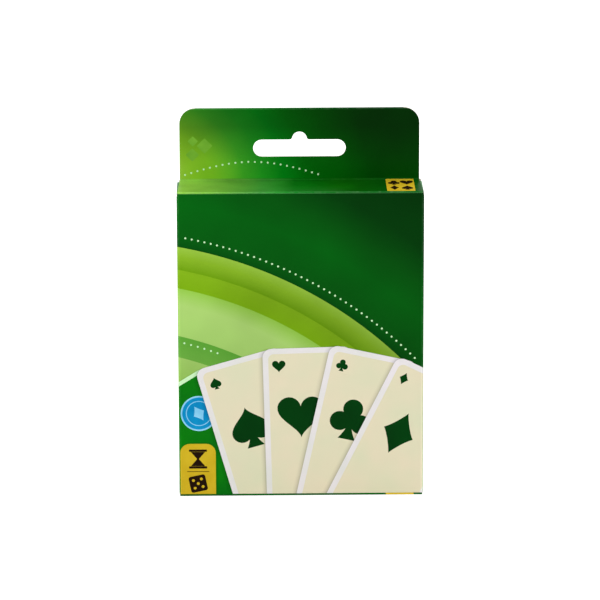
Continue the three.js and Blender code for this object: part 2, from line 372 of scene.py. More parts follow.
@dataclass(frozen=True)
class LinenCard:
    """Playing card stock, coated and pressed with a linen weave: fine crossed ribs in a soft sheen."""

    ink: Ink = Ink.STOCK
    colour: str = "EDE7DA"
    cloud: str = "E2DBCB"
    cloud_mm: float = 12.0
    rib_mm: float = 0.5
    relief_mm: float = 0.03
    roughness: float = 0.42

    def build(self) -> bpy.types.Material:
        """Makes the material: the weave's ribs are drawn at twice their real pitch, so that they show.

        Returns:
            The new material.
        """
        material, tree, body = new_material(self.ink.value)
        ribs = [add_node(tree, "ShaderNodeTexWave", {
            "Vector": body, "Scale": WAVE_LENGTH / (self.rib_mm * MM), "Distortion": 0.4},
            bands_direction=way).outputs["Fac"] for way in ("X", "Z")]
        weave = add_node(tree, "ShaderNodeMath", {0: ribs[0], 1: ribs[1]}, operation="MULTIPLY")
        cloud = add_node(tree, "ShaderNodeTexNoise", {"Vector": body, "Scale": 1 / (self.cloud_mm * MM)})
        colour = add_node(tree, "ShaderNodeMix", {
            FACTOR: cloud, FIRST: linear(self.colour), SECOND: linear(self.cloud)}, data_type="RGBA")
        bump = add_node(tree, "ShaderNodeBump", {
            "Strength": 0.4, "Distance": self.relief_mm * MM, "Height": weave})
        shader = add_node(tree, "ShaderNodeBsdfPrincipled", {
            "Base Color": colour, "Roughness": self.roughness, "Specular IOR Level": 0.4, "Normal": bump})
        add_node(tree, "ShaderNodeOutputMaterial", {"Surface": shader})
        return material


STRIPE_CENTRE: Point = (-75.0, -60.0)

FINISHES: tuple[PrintedInk | BareFibre | LinenCard, ...] = (
    PrintedInk(Ink.FIELD, StripedPigment(STRIPE_CENTRE, 34.0, (
        ((0.0, "006B12"), (70.0, "006E12"), (84.0, "007C0F"), (98.2, "278A2A")),
        ((98.2, "489432"), (108.2, "549632")),
        ((108.2, "88B352"), (118.2, "95BC60")),
        ((118.2, "64A03D"), (126.2, "549632")),
        ((126.2, "98BF64"), (138.0, "9CC068"), (144.2, "84B342")),
        ((144.2, "6D990E"), (151.2, "739D17")),
        ((151.2, "5F8B0A"), (156.0, "79A222"), (159.8, "88B03B")),
        ((159.8, "01440A"), (163.0, "03500C"), (176.0, "02580D"), (186.0, "034D0B"), (197.0, "013807"),
         (214.0, "002F04"), (235.0, "013C08"), (262.0, "01500C"), (310.0, "015A0E"))), across=(1.2, 0.9))),
    # Lighter towards the tab's foot: partly the print's fade, partly painted light offsetting the lid's shade
    # there.
    PrintedInk(Ink.TAB, StripedPigment((-58.0, 117.0), 22.0, ((
        (0.0, "74903A"), (10.0, "6C8C2C"), (18.0, "628B1C"), (25.0, "5A8918"), (31.0, "467F19"),
        (37.0, "2A7417"), (44.0, "146B13"), (52.0, "00600C"), (60.0, "004C04"), (70.0, "003E02"),
        (84.0, "002D01"), (110.0, "002801")),), (1.0, 1.15), rise_mm=(117.6, 138.0), rise=(2.3, 1.0))),
    PrintedInk(Ink.LID, StripedPigment((-50.0, 0.0), 16.0, ((
        (0.0, "8FC650"), (9.0, "84BA40"), (24.0, "5C9832"), (36.0, "35832B"), (42.0, "257D22"),
        (48.0, "0A6A0F"), (56.0, "055F08"), (64.0, "0A5A05"), (72.0, "085005"), (82.0, "054B06"),
        (92.0, "074E0A"), (105.0, "053E08")),), (1.0, 0.35)), gloss=0.01),
    PrintedInk(Ink.REAR, PlainPigment("015A0E", "01470B", 40.0)),
    PrintedInk(Ink.CARD_EDGE, PlainPigment("E6E0E4", "DCDCD8", 14.0)),
    PrintedInk(Ink.CARD_FACE, PlainPigment("E3D7BB", "D8D8B8", 20.0)),
    PrintedInk(Ink.GLYPH, PlainPigment("003C0C", "013009")),
    PrintedInk(Ink.CARD_BACK, PlainPigment("0A7A0A", "066A10", 12.0)),
    PrintedInk(Ink.MEDALLION, PlainPigment("0781BA", "0F92CA", 6.0)),
    PrintedInk(Ink.MEDALLION_LIGHT, PlainPigment("7CC4EA", "9AD4F0", 6.0)),
    PrintedInk(Ink.BADGE, PlainPigment("D2B429", "C8A81E", 10.0)),
    PrintedInk(Ink.MARK, PlainPigment("241206", "1A0D04")),
    PrintedInk(Ink.MINT, PlainPigment("CFF2C4", "BDEBB4")),
    PrintedInk(Ink.LIME, PlainPigment("74AD33", "649F2C", 6.0)),
    PrintedInk(Ink.WHITE, PlainPigment("EEF0E8", "E6E9DF", 18.0)),
    BareFibre(Ink.INSIDE, "DCD8CC", "CBC6B6", 1.2, 0.9, 0.05),
    BareFibre(Ink.CORE, "F2F0E8", "D8D3C4", 0.35, 0.95, 0.08, 1.0),
    # The front panel's upper cut edge, painted the green of the lid fold's highlight in place of the white
    # core.
    BareFibre(Ink.RUBBED, "2A7A36", "5A9A58", 0.35, 0.95, 0.08, 1.0),
    LinenCard(),
)


@cache
def surface(ink: Ink) -> bpy.types.Material:
    """The material of a named surface, built at the first call."""
    return next(finish for finish in FINISHES if finish.ink is ink).build()


# Outlines, in millimetres on the unfolded board


def arc(centre: Point, radius: float, start: float, end: float, steps: int = 6) -> Outline:
    """Points along an arc from one angle in degrees to another, both ends included."""
    angles = [math.radians(start + (end - start) * i / steps) for i in range(steps + 1)]
    return [(centre[0] + radius * math.cos(a), centre[1] + radius * math.sin(a)) for a in angles]


def rounded(left: float, bottom: float, right: float, top: float,
            radii: float | Sequence[float] = 0.0) -> Outline:
    """Rectangle with one radius, or its own radius at each corner.

    Args:
        left: the left side.
        bottom: the lower side.
        right: the right side.
        top: the upper side.
        radii: the radius, or the lower left, lower right, upper right and upper left radius.

    Returns:
        The outline, anticlockwise.
    """
    corners = ((left, bottom, 1, 1), (right, bottom, -1, 1), (right, top, -1, -1), (left, top, 1, -1))
    outline: Outline = []
    for index, (x, y, sx, sy) in enumerate(corners):
        radius = radii[index] if isinstance(radii, Sequence) else radii
        if radius > 0:
            outline += arc((x + sx * radius, y + sy * radius), radius, 180 + 90 * index, 270 + 90 * index)
        else:
            outline.append((x, y))
    return outline


def centred(width: float, height: float, radius: float = 0.0) -> Outline:
    """Rounded rectangle about its middle."""
    return rounded(-width / 2, -height / 2, width / 2, height / 2, radius)


def placed(points: Sequence[Point], at: Point, turn: float = 0.0) -> Outline:
    """Turns an outline about its origin, anticlockwise in degrees, and moves the origin to a place."""
    c, s = math.cos(math.radians(turn)), math.sin(math.radians(turn))
    return [(at[0] + c * x - s * y, at[1] + s * x + c * y) for x, y in points]


def heart(size: float, upright: float = 1.0) -> Outline:
    """A heart from its formula.

    Args:
        size: its height.
        upright: one, or minus one to stand it on its head.

    Returns:
        The outline about its middle.
    """
    outline = []
    for i in range(44):
        t = 2 * math.pi * (i + 0.5) / 44
        x = 16 * math.sin(t) ** 3
        y = 13 * math.cos(t) - 5 * math.cos(2 * t) - 2 * math.cos(3 * t) - math.cos(4 * t) + 2.5
        outline.append((x * size / 29, upright * y * size / 29))
    return outline


def stem(size: float) -> Outline:
    """The waisted foot under a spade or a club of the given height."""
    side = [(size * (0.04 + 0.17 * (i / 6) ** 2.2), size * (0.02 - 0.52 * i / 6)) for i in range(7)]
    return side + [(-x, y) for x, y in reversed(side)]


class Suit(Enum):
    """The four traditional suits."""

    SPADE = "spade"
    HEART = "heart"
    CLUB = "club"
    DIAMOND = "diamond"

    def outlines(self, size: float) -> list[Outline]:
        """The outlines that together draw the suit. Its parts are shares of its height.

        Args:
            size: its height.

        Returns:
            One or more outlines about its middle.
        """
        if self is Suit.HEART:
            return [heart(size)]
        if self is Suit.SPADE:
            return [placed(heart(size * 0.84, -1.0), (0.0, size * 0.08)), stem(size)]
        if self is Suit.DIAMOND:
            bend = 2.3
            rim = [(math.cos(math.radians(a)), math.sin(math.radians(a))) for a in range(0, 360, 10)]
            return [[(0.38 * size * math.copysign(abs(x) ** bend, x),
                      0.54 * size * math.copysign(abs(y) ** bend, y)) for x, y in rim]]
        leaf, low = size * 0.235, -size * 0.08
        leaves = [(0.0, size * 0.26), (-size * 0.25, low), (size * 0.25, low), (0.0, size * 0.02)]
        radii = (leaf, leaf, leaf, leaf * 0.6)
        return [arc(middle, radius, 0, 345, 23) for middle, radius in zip(leaves, radii)] + [stem(size)]


# The print


@dataclass
class Panel:
    """One panel of an unfolded sheet: its outline, its base ink and what is printed on it.

    The layers are in painter's order. Each is an ink, or a printed shadow's share of darkening. What is
    printed is placed on the panel, and to_sheet turns that place into one on the sheet.
    """

    outline: Outline
    ink: Ink
    to_sheet: Callable[[Point], Point] = lambda p: p
    layers: list[tuple[Ink | float, Outline]] = field(default_factory=list)

    def add(self, layer: Ink | float, points: Sequence[Point], at: Point = (0.0, 0.0),
            turn: float = 0.0) -> None:
        """Prints an outline, turned and moved to its place on the panel."""
        self.layers.append((layer, [self.to_sheet(p) for p in placed(points, at, turn)]))

    def suit(self, ink: Ink, suit: Suit, size: float, at: Point, turn: float = 0.0) -> None:
        """Prints a suit mark of the given height about a place."""
        for outline in suit.outlines(size):
            self.add(ink, outline, at, turn)


@dataclass
class CardFan:
    """A printed hand of cards, spread about one point below the panel's foot, a card back first.

    Places on a card are measured from its upper middle. Each shadow is how far it lies to the left and its
    share of darkening. Its rise is a share of that way, and an inner corner loses a share of the inset.
    """

    pivot: Point = (5.0, -46.0)
    reach: float = 104.0
    width: float = 33.5
    length: float = 76.0
    corner: float = 3.4
    border: float = 2.1
    back_border: float = 1.47
    angles: tuple[float, ...] = (32.0, 16.0, 1.5, -12.5, -26.5)
    cards: tuple[Suit | None, ...] = (None, Suit.SPADE, Suit.HEART, Suit.CLUB, Suit.DIAMOND)
    edge: Ink = Ink.CARD_EDGE
    face: Ink = Ink.CARD_FACE
    mark: float = 16.0
    mark_at: Point = (-3.0, -27.0)
    index_mark: float = 4.6
    index_at: Point = (-10.75, -7.0)
    medallion: float = 6.0
    medallion_at: Point = (4.8, -14.4)
    medallion_rings: tuple[float, ...] = (6.9, 6.3, 4.9, 4.6)
    shadows: tuple[Point, ...] = ((1.75, 0.035), (1.35, 0.05), (1.0, 0.065), (0.65, 0.09), (0.32, 0.18))
    shadow_rise: float = 0.15
    inner_corner: float = 0.6

    def outline(self, inset: float) -> Outline:
        """A card's outline, drawn in by the same amount all round."""
        half = self.width / 2 - inset
        return rounded(-half, -self.length + inset, half, -inset, self.corner - inset * self.inner_corner)

    def print_on(self, panel: Panel) -> None:
        """Prints the cards from the left, each over the last; a card without a suit shows its back.

        Args:
            panel: the panel.
        """
        for turn, suit in zip(self.angles, self.cards):
            side = math.radians(turn)
            top = (self.pivot[0] - self.reach * math.sin(side), self.pivot[1] + self.reach * math.cos(side))
            for width, share in self.shadows:
                panel.add(share, placed(self.outline(0.0), (-width, self.shadow_rise * width)), top, turn)
            panel.add(self.edge if suit else Ink.MINT, self.outline(0.0), top, turn)
            panel.add(self.face if suit else Ink.CARD_BACK,
                      self.outline(self.border if suit else self.back_border), top, turn)
            if suit is None:
                self.print_medallion(panel, placed([self.medallion_at], top, turn)[0], turn)
                continue
            panel.suit(Ink.GLYPH, suit, self.mark, placed([self.mark_at], top, turn)[0], turn)
            if self.index_mark > 0:
                panel.suit(Ink.GLYPH, suit, self.index_mark, placed([self.index_at], top, turn)[0], turn)

    def print_medallion(self, panel: Panel, middle: Point, turn: float) -> None:
        """Prints the card back's plain medallion: a lozenge in a ringed disc.

        Args:
            panel: the panel.
            middle: the medallion's middle.
            turn: its angle in degrees.
        """
        for ink, radius in zip((Ink.MEDALLION_LIGHT, Ink.MEDALLION) * 2, self.medallion_rings):
            panel.add(ink, arc((0.0, 0.0), radius, 0, 350, 35), middle)
        panel.suit(Ink.MEDALLION_LIGHT, Suit.DIAMOND, self.medallion, middle, turn)


@dataclass
class Die:
    """A printed die. Its corners, pips and the pips' places are shares of half its width."""

    half: float
    turn: float
    pips: tuple[Point, ...]
    ink: Ink
    pip_ink: Ink
    corner_share: float = 0.28
    pip_share: float = 0.18
    place_share: float = 0.48

    def print_on(self, panel: Panel, at: Point) -> None:
        """Prints the die.

        Args:
            panel: the panel.
            at: the die's middle.
        """
        width = 2 * self.half
        panel.add(self.ink, centred(width, width, self.half * self.corner_share), at, self.turn)
        step = self.half * self.place_share
        for u, v in self.pips:
            panel.add(self.pip_ink, arc((0, 0), self.half * self.pip_share, 0, 324, 9),
                      placed([(u * step, v * step)], at, self.turn)[0])


THREE_PIPS: tuple[Point, ...] = ((-1.0, -1.0), (0.0, 0.0), (1.0, 1.0))
FIVE_PIPS: tuple[Point, ...] = ((-1.0, -1.0), (-1.0, 1.0), (0.0, 0.0), (1.0, -1.0), (1.0, 1.0))


@dataclass
class Badge:
    """The yellow badge with an hourglass over a die. The heights of its marks are shares of its own."""

    left: float
    width: float = 13.4
    height: float = 20.6
    corner: float = 3.6
    shadow: float = 0.12
    shadow_reach: Point = (0.9, 0.7)
    shadow_corner: float = 4.0
    glass: Point = (2.7, 2.8)
    waist: float = 0.35
    cap: tuple[float, float, float] = (6.8, 0.9, 0.2)
    cap_rise: float = 3.3
    rule: Point = (8.4, 0.24)
    die: Die = field(default_factory=lambda: Die(3.2, 12, FIVE_PIPS, Ink.MARK, Ink.BADGE))
    height_shares: tuple[float, float, float] = (0.71, 0.47, 0.24)

    def print_on(self, panel: Panel) -> None:
        """Prints the badge at the panel's foot.

        Args:
            panel: the panel.
        """
        right, reach = self.left + self.width, self.shadow_reach
        panel.add(self.shadow, rounded(self.left, 0, right + reach[0], self.height + reach[1],
                                       (0, 0, self.shadow_corner, self.shadow_corner)))
        panel.add(Ink.BADGE, rounded(self.left, 0, right, self.height, (0, 0, self.corner, self.corner)))
        middle = self.left + self.width / 2
        glass_at, rule_at, die_at = ((middle, self.height * share) for share in self.height_shares)
        (half, tall), waist = self.glass, self.waist
        panel.add(Ink.MARK, [(-half, tall), (-waist, 0.0), (-half, -tall), (half, -tall), (waist, 0.0),
                             (half, tall)], glass_at)
        for side in (-1, 1):
            panel.add(Ink.MARK, centred(*self.cap), (middle, glass_at[1] + side * self.cap_rise))
        panel.add(Ink.MARK, centred(*self.rule), rule_at)
        self.die.print_on(panel, die_at)


@dataclass
class PlaySteps:
    """Three small pictures with arrows between them: take from the deck, hold a hand, lay a pair."""

    middle: Point = (-14.5, 43.5)
    card: Point = (6.4, 9.4)
    corner: float = 0.9
    line: float = 0.35
    mark: float = 4.0
    places: tuple[float, float, float] = (-18.4, -1.6, 17.6)
    deck_step: Point = (1.0, 0.8)
    hand_drop: float = 14.0
    hand_reach: float = 18.6
    hand_angles: tuple[float, ...] = (17.0, 0.0, -17.0)
    hand_mark: float = 3.0
    hand_mark_at: Point = (-0.7, -3.4)
    pair_step: float = 3.7
    arrows: tuple[float, float] = (-12.0, 8.6)
    arrow: tuple[float, float, float] = (1.4, 0.35, 1.1)

    def small_card(self, panel: Panel, at: Point, suit: Suit | None) -> None:
        """Prints one small card with a dark outline.

        Args:
            panel: the panel.
            at: the card's middle.
            suit: its suit, or none for its back.
        """
        width, height = self.card
        panel.add(Ink.GLYPH, centred(width, height, self.corner), at)
        panel.add(Ink.WHITE if suit else Ink.CARD_BACK,
                  centred(width - 2 * self.line, height - 2 * self.line, self.corner - self.line), at)
        panel.suit(Ink.GLYPH if suit else Ink.MINT, suit or Suit.DIAMOND, self.mark, at)

    def print_on(self, panel: Panel) -> None:
        """Prints the three pictures from left to right, then the arrows.

        Args:
            panel: the panel.
        """
        x, z = self.middle
        deck, hand, pair = self.places
        across, up = self.deck_step
        for layer in (-1, 0, 1):
            self.small_card(panel, (x + deck + layer * across, z + layer * up), None)
        CardFan(pivot=(x + hand, z - self.hand_drop), reach=self.hand_reach, width=self.card[0],
                length=self.card[1], corner=self.corner, border=self.line, angles=self.hand_angles,
                cards=(Suit.SPADE, Suit.CLUB, Suit.HEART), edge=Ink.GLYPH, face=Ink.WHITE,
                mark=self.hand_mark, mark_at=self.hand_mark_at, index_mark=0.0, shadows=()).print_on(panel)
        for side in (-1, 1):
            self.small_card(panel, (x + pair + side * self.pair_step, z), Suit.HEART)
        half, shaft, head = self.arrow
        for place in self.arrows:
            panel.add(Ink.GLYPH, [(-half, -shaft), (0.0, -shaft), (0.0, -head), (half, 0.0), (0.0, head),
                                  (0.0, shaft), (-half, shaft)], (x + place, z))


@dataclass
class BackPrint:
    """The back's print: four cards in a framed panel, then pictures of play, two dice and a badge.

    A bare panel fills the rest of the lowest row.
    """

    half: float
    top: float
    frame_foot: float = 62.0
    frame_rim: float = 1.2
    frame_corners: Point = (4.0, 3.2)
    card: Point = (15.0, 22.0)
    card_rim: float = 1.0
    card_corners: Point = (1.8, 1.2)
    card_shadow: tuple[float, float, float, float] = (-7.6, -11.2, 8.0, 10.8)
    card_shade: float = 0.2
    card_pitch: float = 19.6
    card_rise: float = 87.4
    mark: float = 9.0
    corner: float = 2.5
    play_row: Point = (30.0, 57.0)
    play_right: float = 12.0
    dice_left: float = 17.0
    dice: tuple[tuple[Point, float, tuple[Point, ...]], ...] = (
        ((25.6, 46.6), 14.0, FIVE_PIPS), ((32.6, 39.0), -10.0, THREE_PIPS))
    die_half: float = 4.6
    foot_row: Point = (8.0, 25.0)
    badge_width: float = 13.0
    bare_inset: float = 18.0

    def print_on(self, panel: Panel) -> None:
        """Prints the back from its top down.

        Args:
            panel: the panel.
        """
        half, rim = self.half, self.frame_rim
        panel.add(Ink.CARD_BACK, rounded(-half, self.frame_foot, half, self.top, self.frame_corners[0]))
        panel.add(Ink.CARD_FACE, rounded(-half + rim, self.frame_foot + rim, half - rim, self.top - rim,
                                         self.frame_corners[1]))
        (width, height), rim = self.card, 2 * self.card_rim
        outer, inner = self.card_corners
        for index, suit in enumerate(Suit):
            at = ((index - 1.5) * self.card_pitch, self.card_rise)
            panel.add(self.card_shade, rounded(*self.card_shadow, outer), at)
            panel.add(Ink.CARD_EDGE, centred(width, height, outer), at)
            panel.add(Ink.WHITE, centred(width - rim, height - rim, inner), at)
            panel.suit(Ink.GLYPH, suit, self.mark, at)
        foot, top = self.play_row
        panel.add(Ink.WHITE, rounded(-half, foot, self.play_right, top, self.corner))
        PlaySteps().print_on(panel)
        panel.add(Ink.WHITE, rounded(self.dice_left, foot, half, top, self.corner))
        for at, turn, pips in self.dice:
            Die(self.die_half, turn, pips, Ink.GLYPH, Ink.WHITE).print_on(panel, at)
        foot, top = self.foot_row
        panel.add(Ink.BADGE, rounded(-half, foot, self.badge_width - half, top, self.corner))
        panel.suit(Ink.MARK, Suit.DIAMOND, self.mark, (self.badge_width / 2 - half, (foot + top) / 2))
        panel.add(Ink.WHITE, rounded(self.bare_inset - half, foot, half, top, self.corner))


# Folded sheets


@dataclass
class FoldPath:
    """The outer face of a folded sheet seen along its folds: straight runs joined by small arcs.

    The printed side lies to the right of the direction of travel. A fold's cracks and painted highlight end a
    little beside it.
    """

    corners: Sequence[Point]
    radius: float = 0.55
    steps: int = 6
    wear_and_highlight_reach: float = 0.45

    def __post_init__(self) -> None:
        """Works out the runs, their lengths and the arcs between them."""
        points = [Vector(c) for c in self.corners]
        self.runs = [(b - a).normalized() for a, b in zip(points, points[1:])]
        self.marks = [0.0]
        for a, b in zip(points, points[1:]):
            self.marks.append(self.marks[-1] + (b - a).length)
        self.turns = [math.atan2(a.x * b.y - a.y * b.x, a.dot(b)) for a, b in zip(self.runs, self.runs[1:])]
        self.tangents = [self.radius * math.tan(abs(t) / 2) for t in self.turns]

    def fold_lines(self) -> list[Point]:
        """Places along the path where the sheet needs an edge.

        Returns:
            Each place with the weight of its cracks and painted highlight: one on the arc and none where they
            end.
        """
        lines = []
        for mark, tangent in zip(self.marks[1:], self.tangents):
            lines += [(mark + tangent * (2 * i / self.steps - 1), 1.0) for i in range(self.steps + 1)]
            lines += [(mark + side * (tangent + self.wear_and_highlight_reach), 0.0) for side in (-1, 1)]
        return lines

    def at(self, u: float) -> tuple[Vector, Vector]:
        """The outer face at a place along the path.

        Args:
            u: the unfolded distance from its start.

        Returns:
            The point, and the direction that the printed side faces.
        """
        for index, (turn, tangent) in enumerate(zip(self.turns, self.tangents)):
            mark = self.marks[index + 1]
            if abs(u - mark) < tangent:
                run = self.runs[index]
                start = Vector(self.corners[index + 1]) - run * tangent
                centre = start + Vector((-run.y, run.x)) * math.copysign(1.0, turn) * self.radius
                spin = Matrix.Rotation(turn * (u - mark + tangent) / (2 * tangent), 2)
                heading = spin @ run
                return centre + spin @ (start - centre), Vector((heading.y, -heading.x))
        index = max(i for i in range(len(self.runs)) if i == 0 or self.marks[i] <= u)
        run = self.runs[index]
        return Vector(self.corners[index]) + run * (u - self.marks[index]), Vector((run.y, -run.x))


@dataclass
class FoldedSheet:
    """A sheet of board or paper, cut, printed and folded along one path.

    The print is cut into the outer skin as regions, so its edges are as sharp as the real print's.
    """

    name: str
    path: FoldPath
    place: Callable[[float, float, float], Vector]
    panels: list[Panel]
    thickness: float
    holes: list[Outline] = field(default_factory=list)
    bow: Callable[[float, float], float] = lambda u, v: 0.0
    print_place: Callable[[float, float], Point] = lambda u, v: (u, v)
    inside: Ink = Ink.INSIDE
    edge_at: Callable[[float, float], Ink] = lambda u, v: Ink.CORE
    grid: float = 6.0
    # How strongly the folds show cracks and the painted highlight.
    wear_and_highlight: float = 0.6
    sharp_angle: float = 35.0
    join: float = 1e-5
    near_fold: float = 1e-3

    def regions(self) -> tuple[list[Vector], list[tuple[tuple[int, int, int], Ink, float]]]:
        """Cuts the unfolded sheet into triangles, each with the ink and shade that show there.

        Returns:
            The points, and each triangle with its ink and printed shadow.
        """
        cuts = [(panel.outline, ("panel", index, panel.ink)) for index, panel in enumerate(self.panels)]
        cuts += [(outline, ("layer", index, layer)) for index, panel in enumerate(self.panels)
                 for layer, outline in panel.layers]
        cuts += [(outline, ("hole", 0, 0.0)) for outline in self.holes]
        points: list[Vector] = []
        faces: list[list[int]] = []
        for outline, _ in cuts:
            turned = sum(a[0] * b[1] - a[1] * b[0] for a, b in zip(outline, [*outline[1:], outline[0]])) < 0
            faces.append(list(range(len(points), len(points) + len(outline))))
            points.extend(Vector(p) for p in (reversed(outline) if turned else outline))
        bare = [p for panel in self.panels for p in panel.outline]
        (left, foot), (right, top) = (tuple(pick(p[k] for p in bare) for k in (0, 1)) for pick in (min, max))
        edges = []
        for u, _ in self.path.fold_lines():
            edges.append((len(points), len(points) + 1))
            points += [Vector((u, foot - OVERRUN)), Vector((u, top + OVERRUN))]
        points += [Vector((left + i * self.grid, foot + k * self.grid))
                   for i in range(1, int((right - left) / self.grid) + 1)
                   for k in range(1, int((top - foot) / self.grid) + 1)]
        found, _, triangles, _, _, sources = delaunay_2d_cdt(points, edges, faces, 1, self.join, True)
        kept = []
        for triangle, source in zip(triangles, sources):
            owners = [cuts[i][1] for i in sorted(source)]
            panel = next((index for kind, index, _ in owners if kind == "panel"), None)
            if panel is None or any(kind == "hole" for kind, _, _ in owners):
                continue
            ink, shade = self.panels[panel].ink, 0.0
            for kind, index, layer in owners:
                if kind != "layer" or index != panel:
                    continue
                if isinstance(layer, Ink):
                    ink, shade = layer, 0.0
                else:
                    shade = 1 - (1 - shade) * (1 - layer)
            kept.append((tuple(triangle), ink, shade))
        return found, kept

    def build(self) -> bpy.types.Object:
        """Folds the cut sheet and gives it its thickness.

        Returns:
            The sheet as one closed mesh object.
        """
        found, kept = self.regions()
        used = sorted({i for triangle, _, _ in kept for i in triangle})
        order = {old: new for new, old in enumerate(used)}
        count = len(used)
        outer, inner = [], []
        for old in used:
            u, v = found[old]
            point, normal = self.path.at(u)
            rise = self.bow(u, v)
            for skin, depth in ((outer, -rise), (inner, self.thickness - rise)):
                skin.append(self.place(*(point - normal * depth), v) * MM)
        a, b, c = (order[i] for i in kept[0][0])
        point, normal = self.path.at(found[kept[0][0][0]].x)
        facing = self.place(*(point + normal), 0) - self.place(*point, 0)
        flip = (outer[b] - outer[a]).cross(outer[c] - outer[a]).dot(facing) < 0
        faces, inks, shades, sides = [], [], [], {}
        for triangle, ink, shade in kept:
            a, b, c = (order[i] for i in (reversed(triangle) if flip else triangle))
            faces += [(a, b, c), (a + count, c + count, b + count)]
            inks += [ink, self.inside]
            shades += [shade, 0.0]
            sides |= dict.fromkeys(((a, b), (b, c), (c, a)))
        for a, b in sides:
            if (b, a) not in sides:
                faces.append((b, a, a + count, b + count))
                inks.append(self.edge_at(*(found[used[a]] + found[used[b]]) / 2))
                shades.append(0.0)
        mesh = bpy.data.meshes.new(self.name)
        mesh.from_pydata(outer + inner, [], faces)
        slots = list(dict.fromkeys(inks))
        for ink in slots:
            mesh.materials.append(surface(ink))
        mesh.polygons.foreach_set("material_index", [slots.index(ink) for ink in inks])
        mesh.polygons.foreach_set("use_smooth", [True] * len(faces))
        mesh.attributes.new("shade", "FLOAT", "FACE").data.foreach_set("value", shades)
        lines = self.path.fold_lines()
        fold_weights = [max([w for u, w in lines if abs(found[old].x - u) < self.near_fold], default=0.0)
                for old in used]
        # Per point: the weight of the cracks and of the painted highlight at the folds.
        mesh.attributes.new("wear_and_highlight", "FLOAT", "POINT").data.foreach_set(
            "value", [w * self.wear_and_highlight for w in fold_weights] + [0.0] * count)
        uv = mesh.uv_layers.new(name="print")
        prints = [Vector(self.print_place(*found[old])) * MM for old in used]
        for loop in mesh.loops:
            uv.data[loop.index].uv = prints[loop.vertex_index % count]
        mesh.set_sharp_from_angle(angle=math.radians(self.sharp_angle))
        return new_object(self.name, mesh)


def along_z(a: float, b: float, v: float) -> Vector:
    """A sheet whose folds stand upright: its path lies in plan."""
    return Vector((a, b, v))


def along_x(a: float, b: float, v: float) -> Vector:
    """A sheet whose folds run from left to right: its path is seen from the side."""
    return Vector((v, a, b))


def along_y(a: float, b: float, v: float) -> Vector:
    """A sheet whose folds run from front to back: its path is seen from the front."""
    return Vector((a, v, b))


# The carton


@dataclass(frozen=True)
class CartonFrame:
    """The carton's planes in millimetres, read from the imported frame."""

    half_width: float
    half_depth: float
    front_top: float
    height: float
    full_height: float
    board: float
    tab_half: float
    tab_front: float
    lid_half: float
    lid_front: float
    base_back: float
    dust_top: float
    dust_foot: float
    seam_x: float
    seam_y: float
    seam_foot: float
    seam_top: float

    @classmethod
    def read(cls) -> "CartonFrame":
        """Reads the boxes of the CAD nodes.

        Returns:
            The carton's planes.
        """
        front, back, tab, lid, base, side, seam = (
            [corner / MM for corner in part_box(node)] for node in (
                "front_panel", "back_panel", "hang_tab_front", "lid_panel", "base_panel", "left_side_panel",
                "seam_flap"))
        return cls(
            half_width=front[1].x, half_depth=back[1].y, front_top=front[1].z, height=lid[1].z,
            full_height=back[1].z, board=lid[1].z - lid[0].z, tab_half=tab[1].x, tab_front=tab[0].y,
            lid_half=lid[1].x, lid_front=lid[0].y, base_back=base[1].y, dust_top=side[1].z,
            dust_foot=side[0].z, seam_x=seam[0].x, seam_y=seam[0].y, seam_foot=seam[0].z, seam_top=seam[1].z)


@dataclass
class HangSlot:
    """The long hole through the hang tab, with a bump in the middle of its upper edge."""

    length: float = 34.8
    height: float = 6.5
    rise: float = 9.0
    bump_radius: float = 2.8
    bump_rise: float = 3.0
    flare: float = 1.0

    def outline(self, tab_foot: float, middle: float = 0.0) -> Outline:
        """The hole's outline on a panel.

        Args:
            tab_foot: the height of the tab's foot.
            middle: where the tab's middle lies along the sheet.

        Returns:
            The outline, anticlockwise.
        """
        low = tab_foot + self.rise
        high = low + self.height
        end = self.height / 2
        reach = self.length / 2 - end
        centre = high + self.bump_rise - self.bump_radius
        join = math.asin((high + self.flare - centre) / (self.bump_radius + self.flare))
        side = math.cos(join) * (self.bump_radius + self.flare)
        turn = math.degrees(join)
        points = arc((reach, low + end), end, -90, 90, 12)
        points += arc((side, high + self.flare), self.flare, 270, 180 + turn)
        points += arc((0, centre), self.bump_radius, turn, 180 - turn, 14)
        points += arc((-side, high + self.flare), self.flare, -turn, -90)
        points += arc((-reach, low + end), end, 90, 270, 12)
        return [(x + middle, z) for x, z in points]


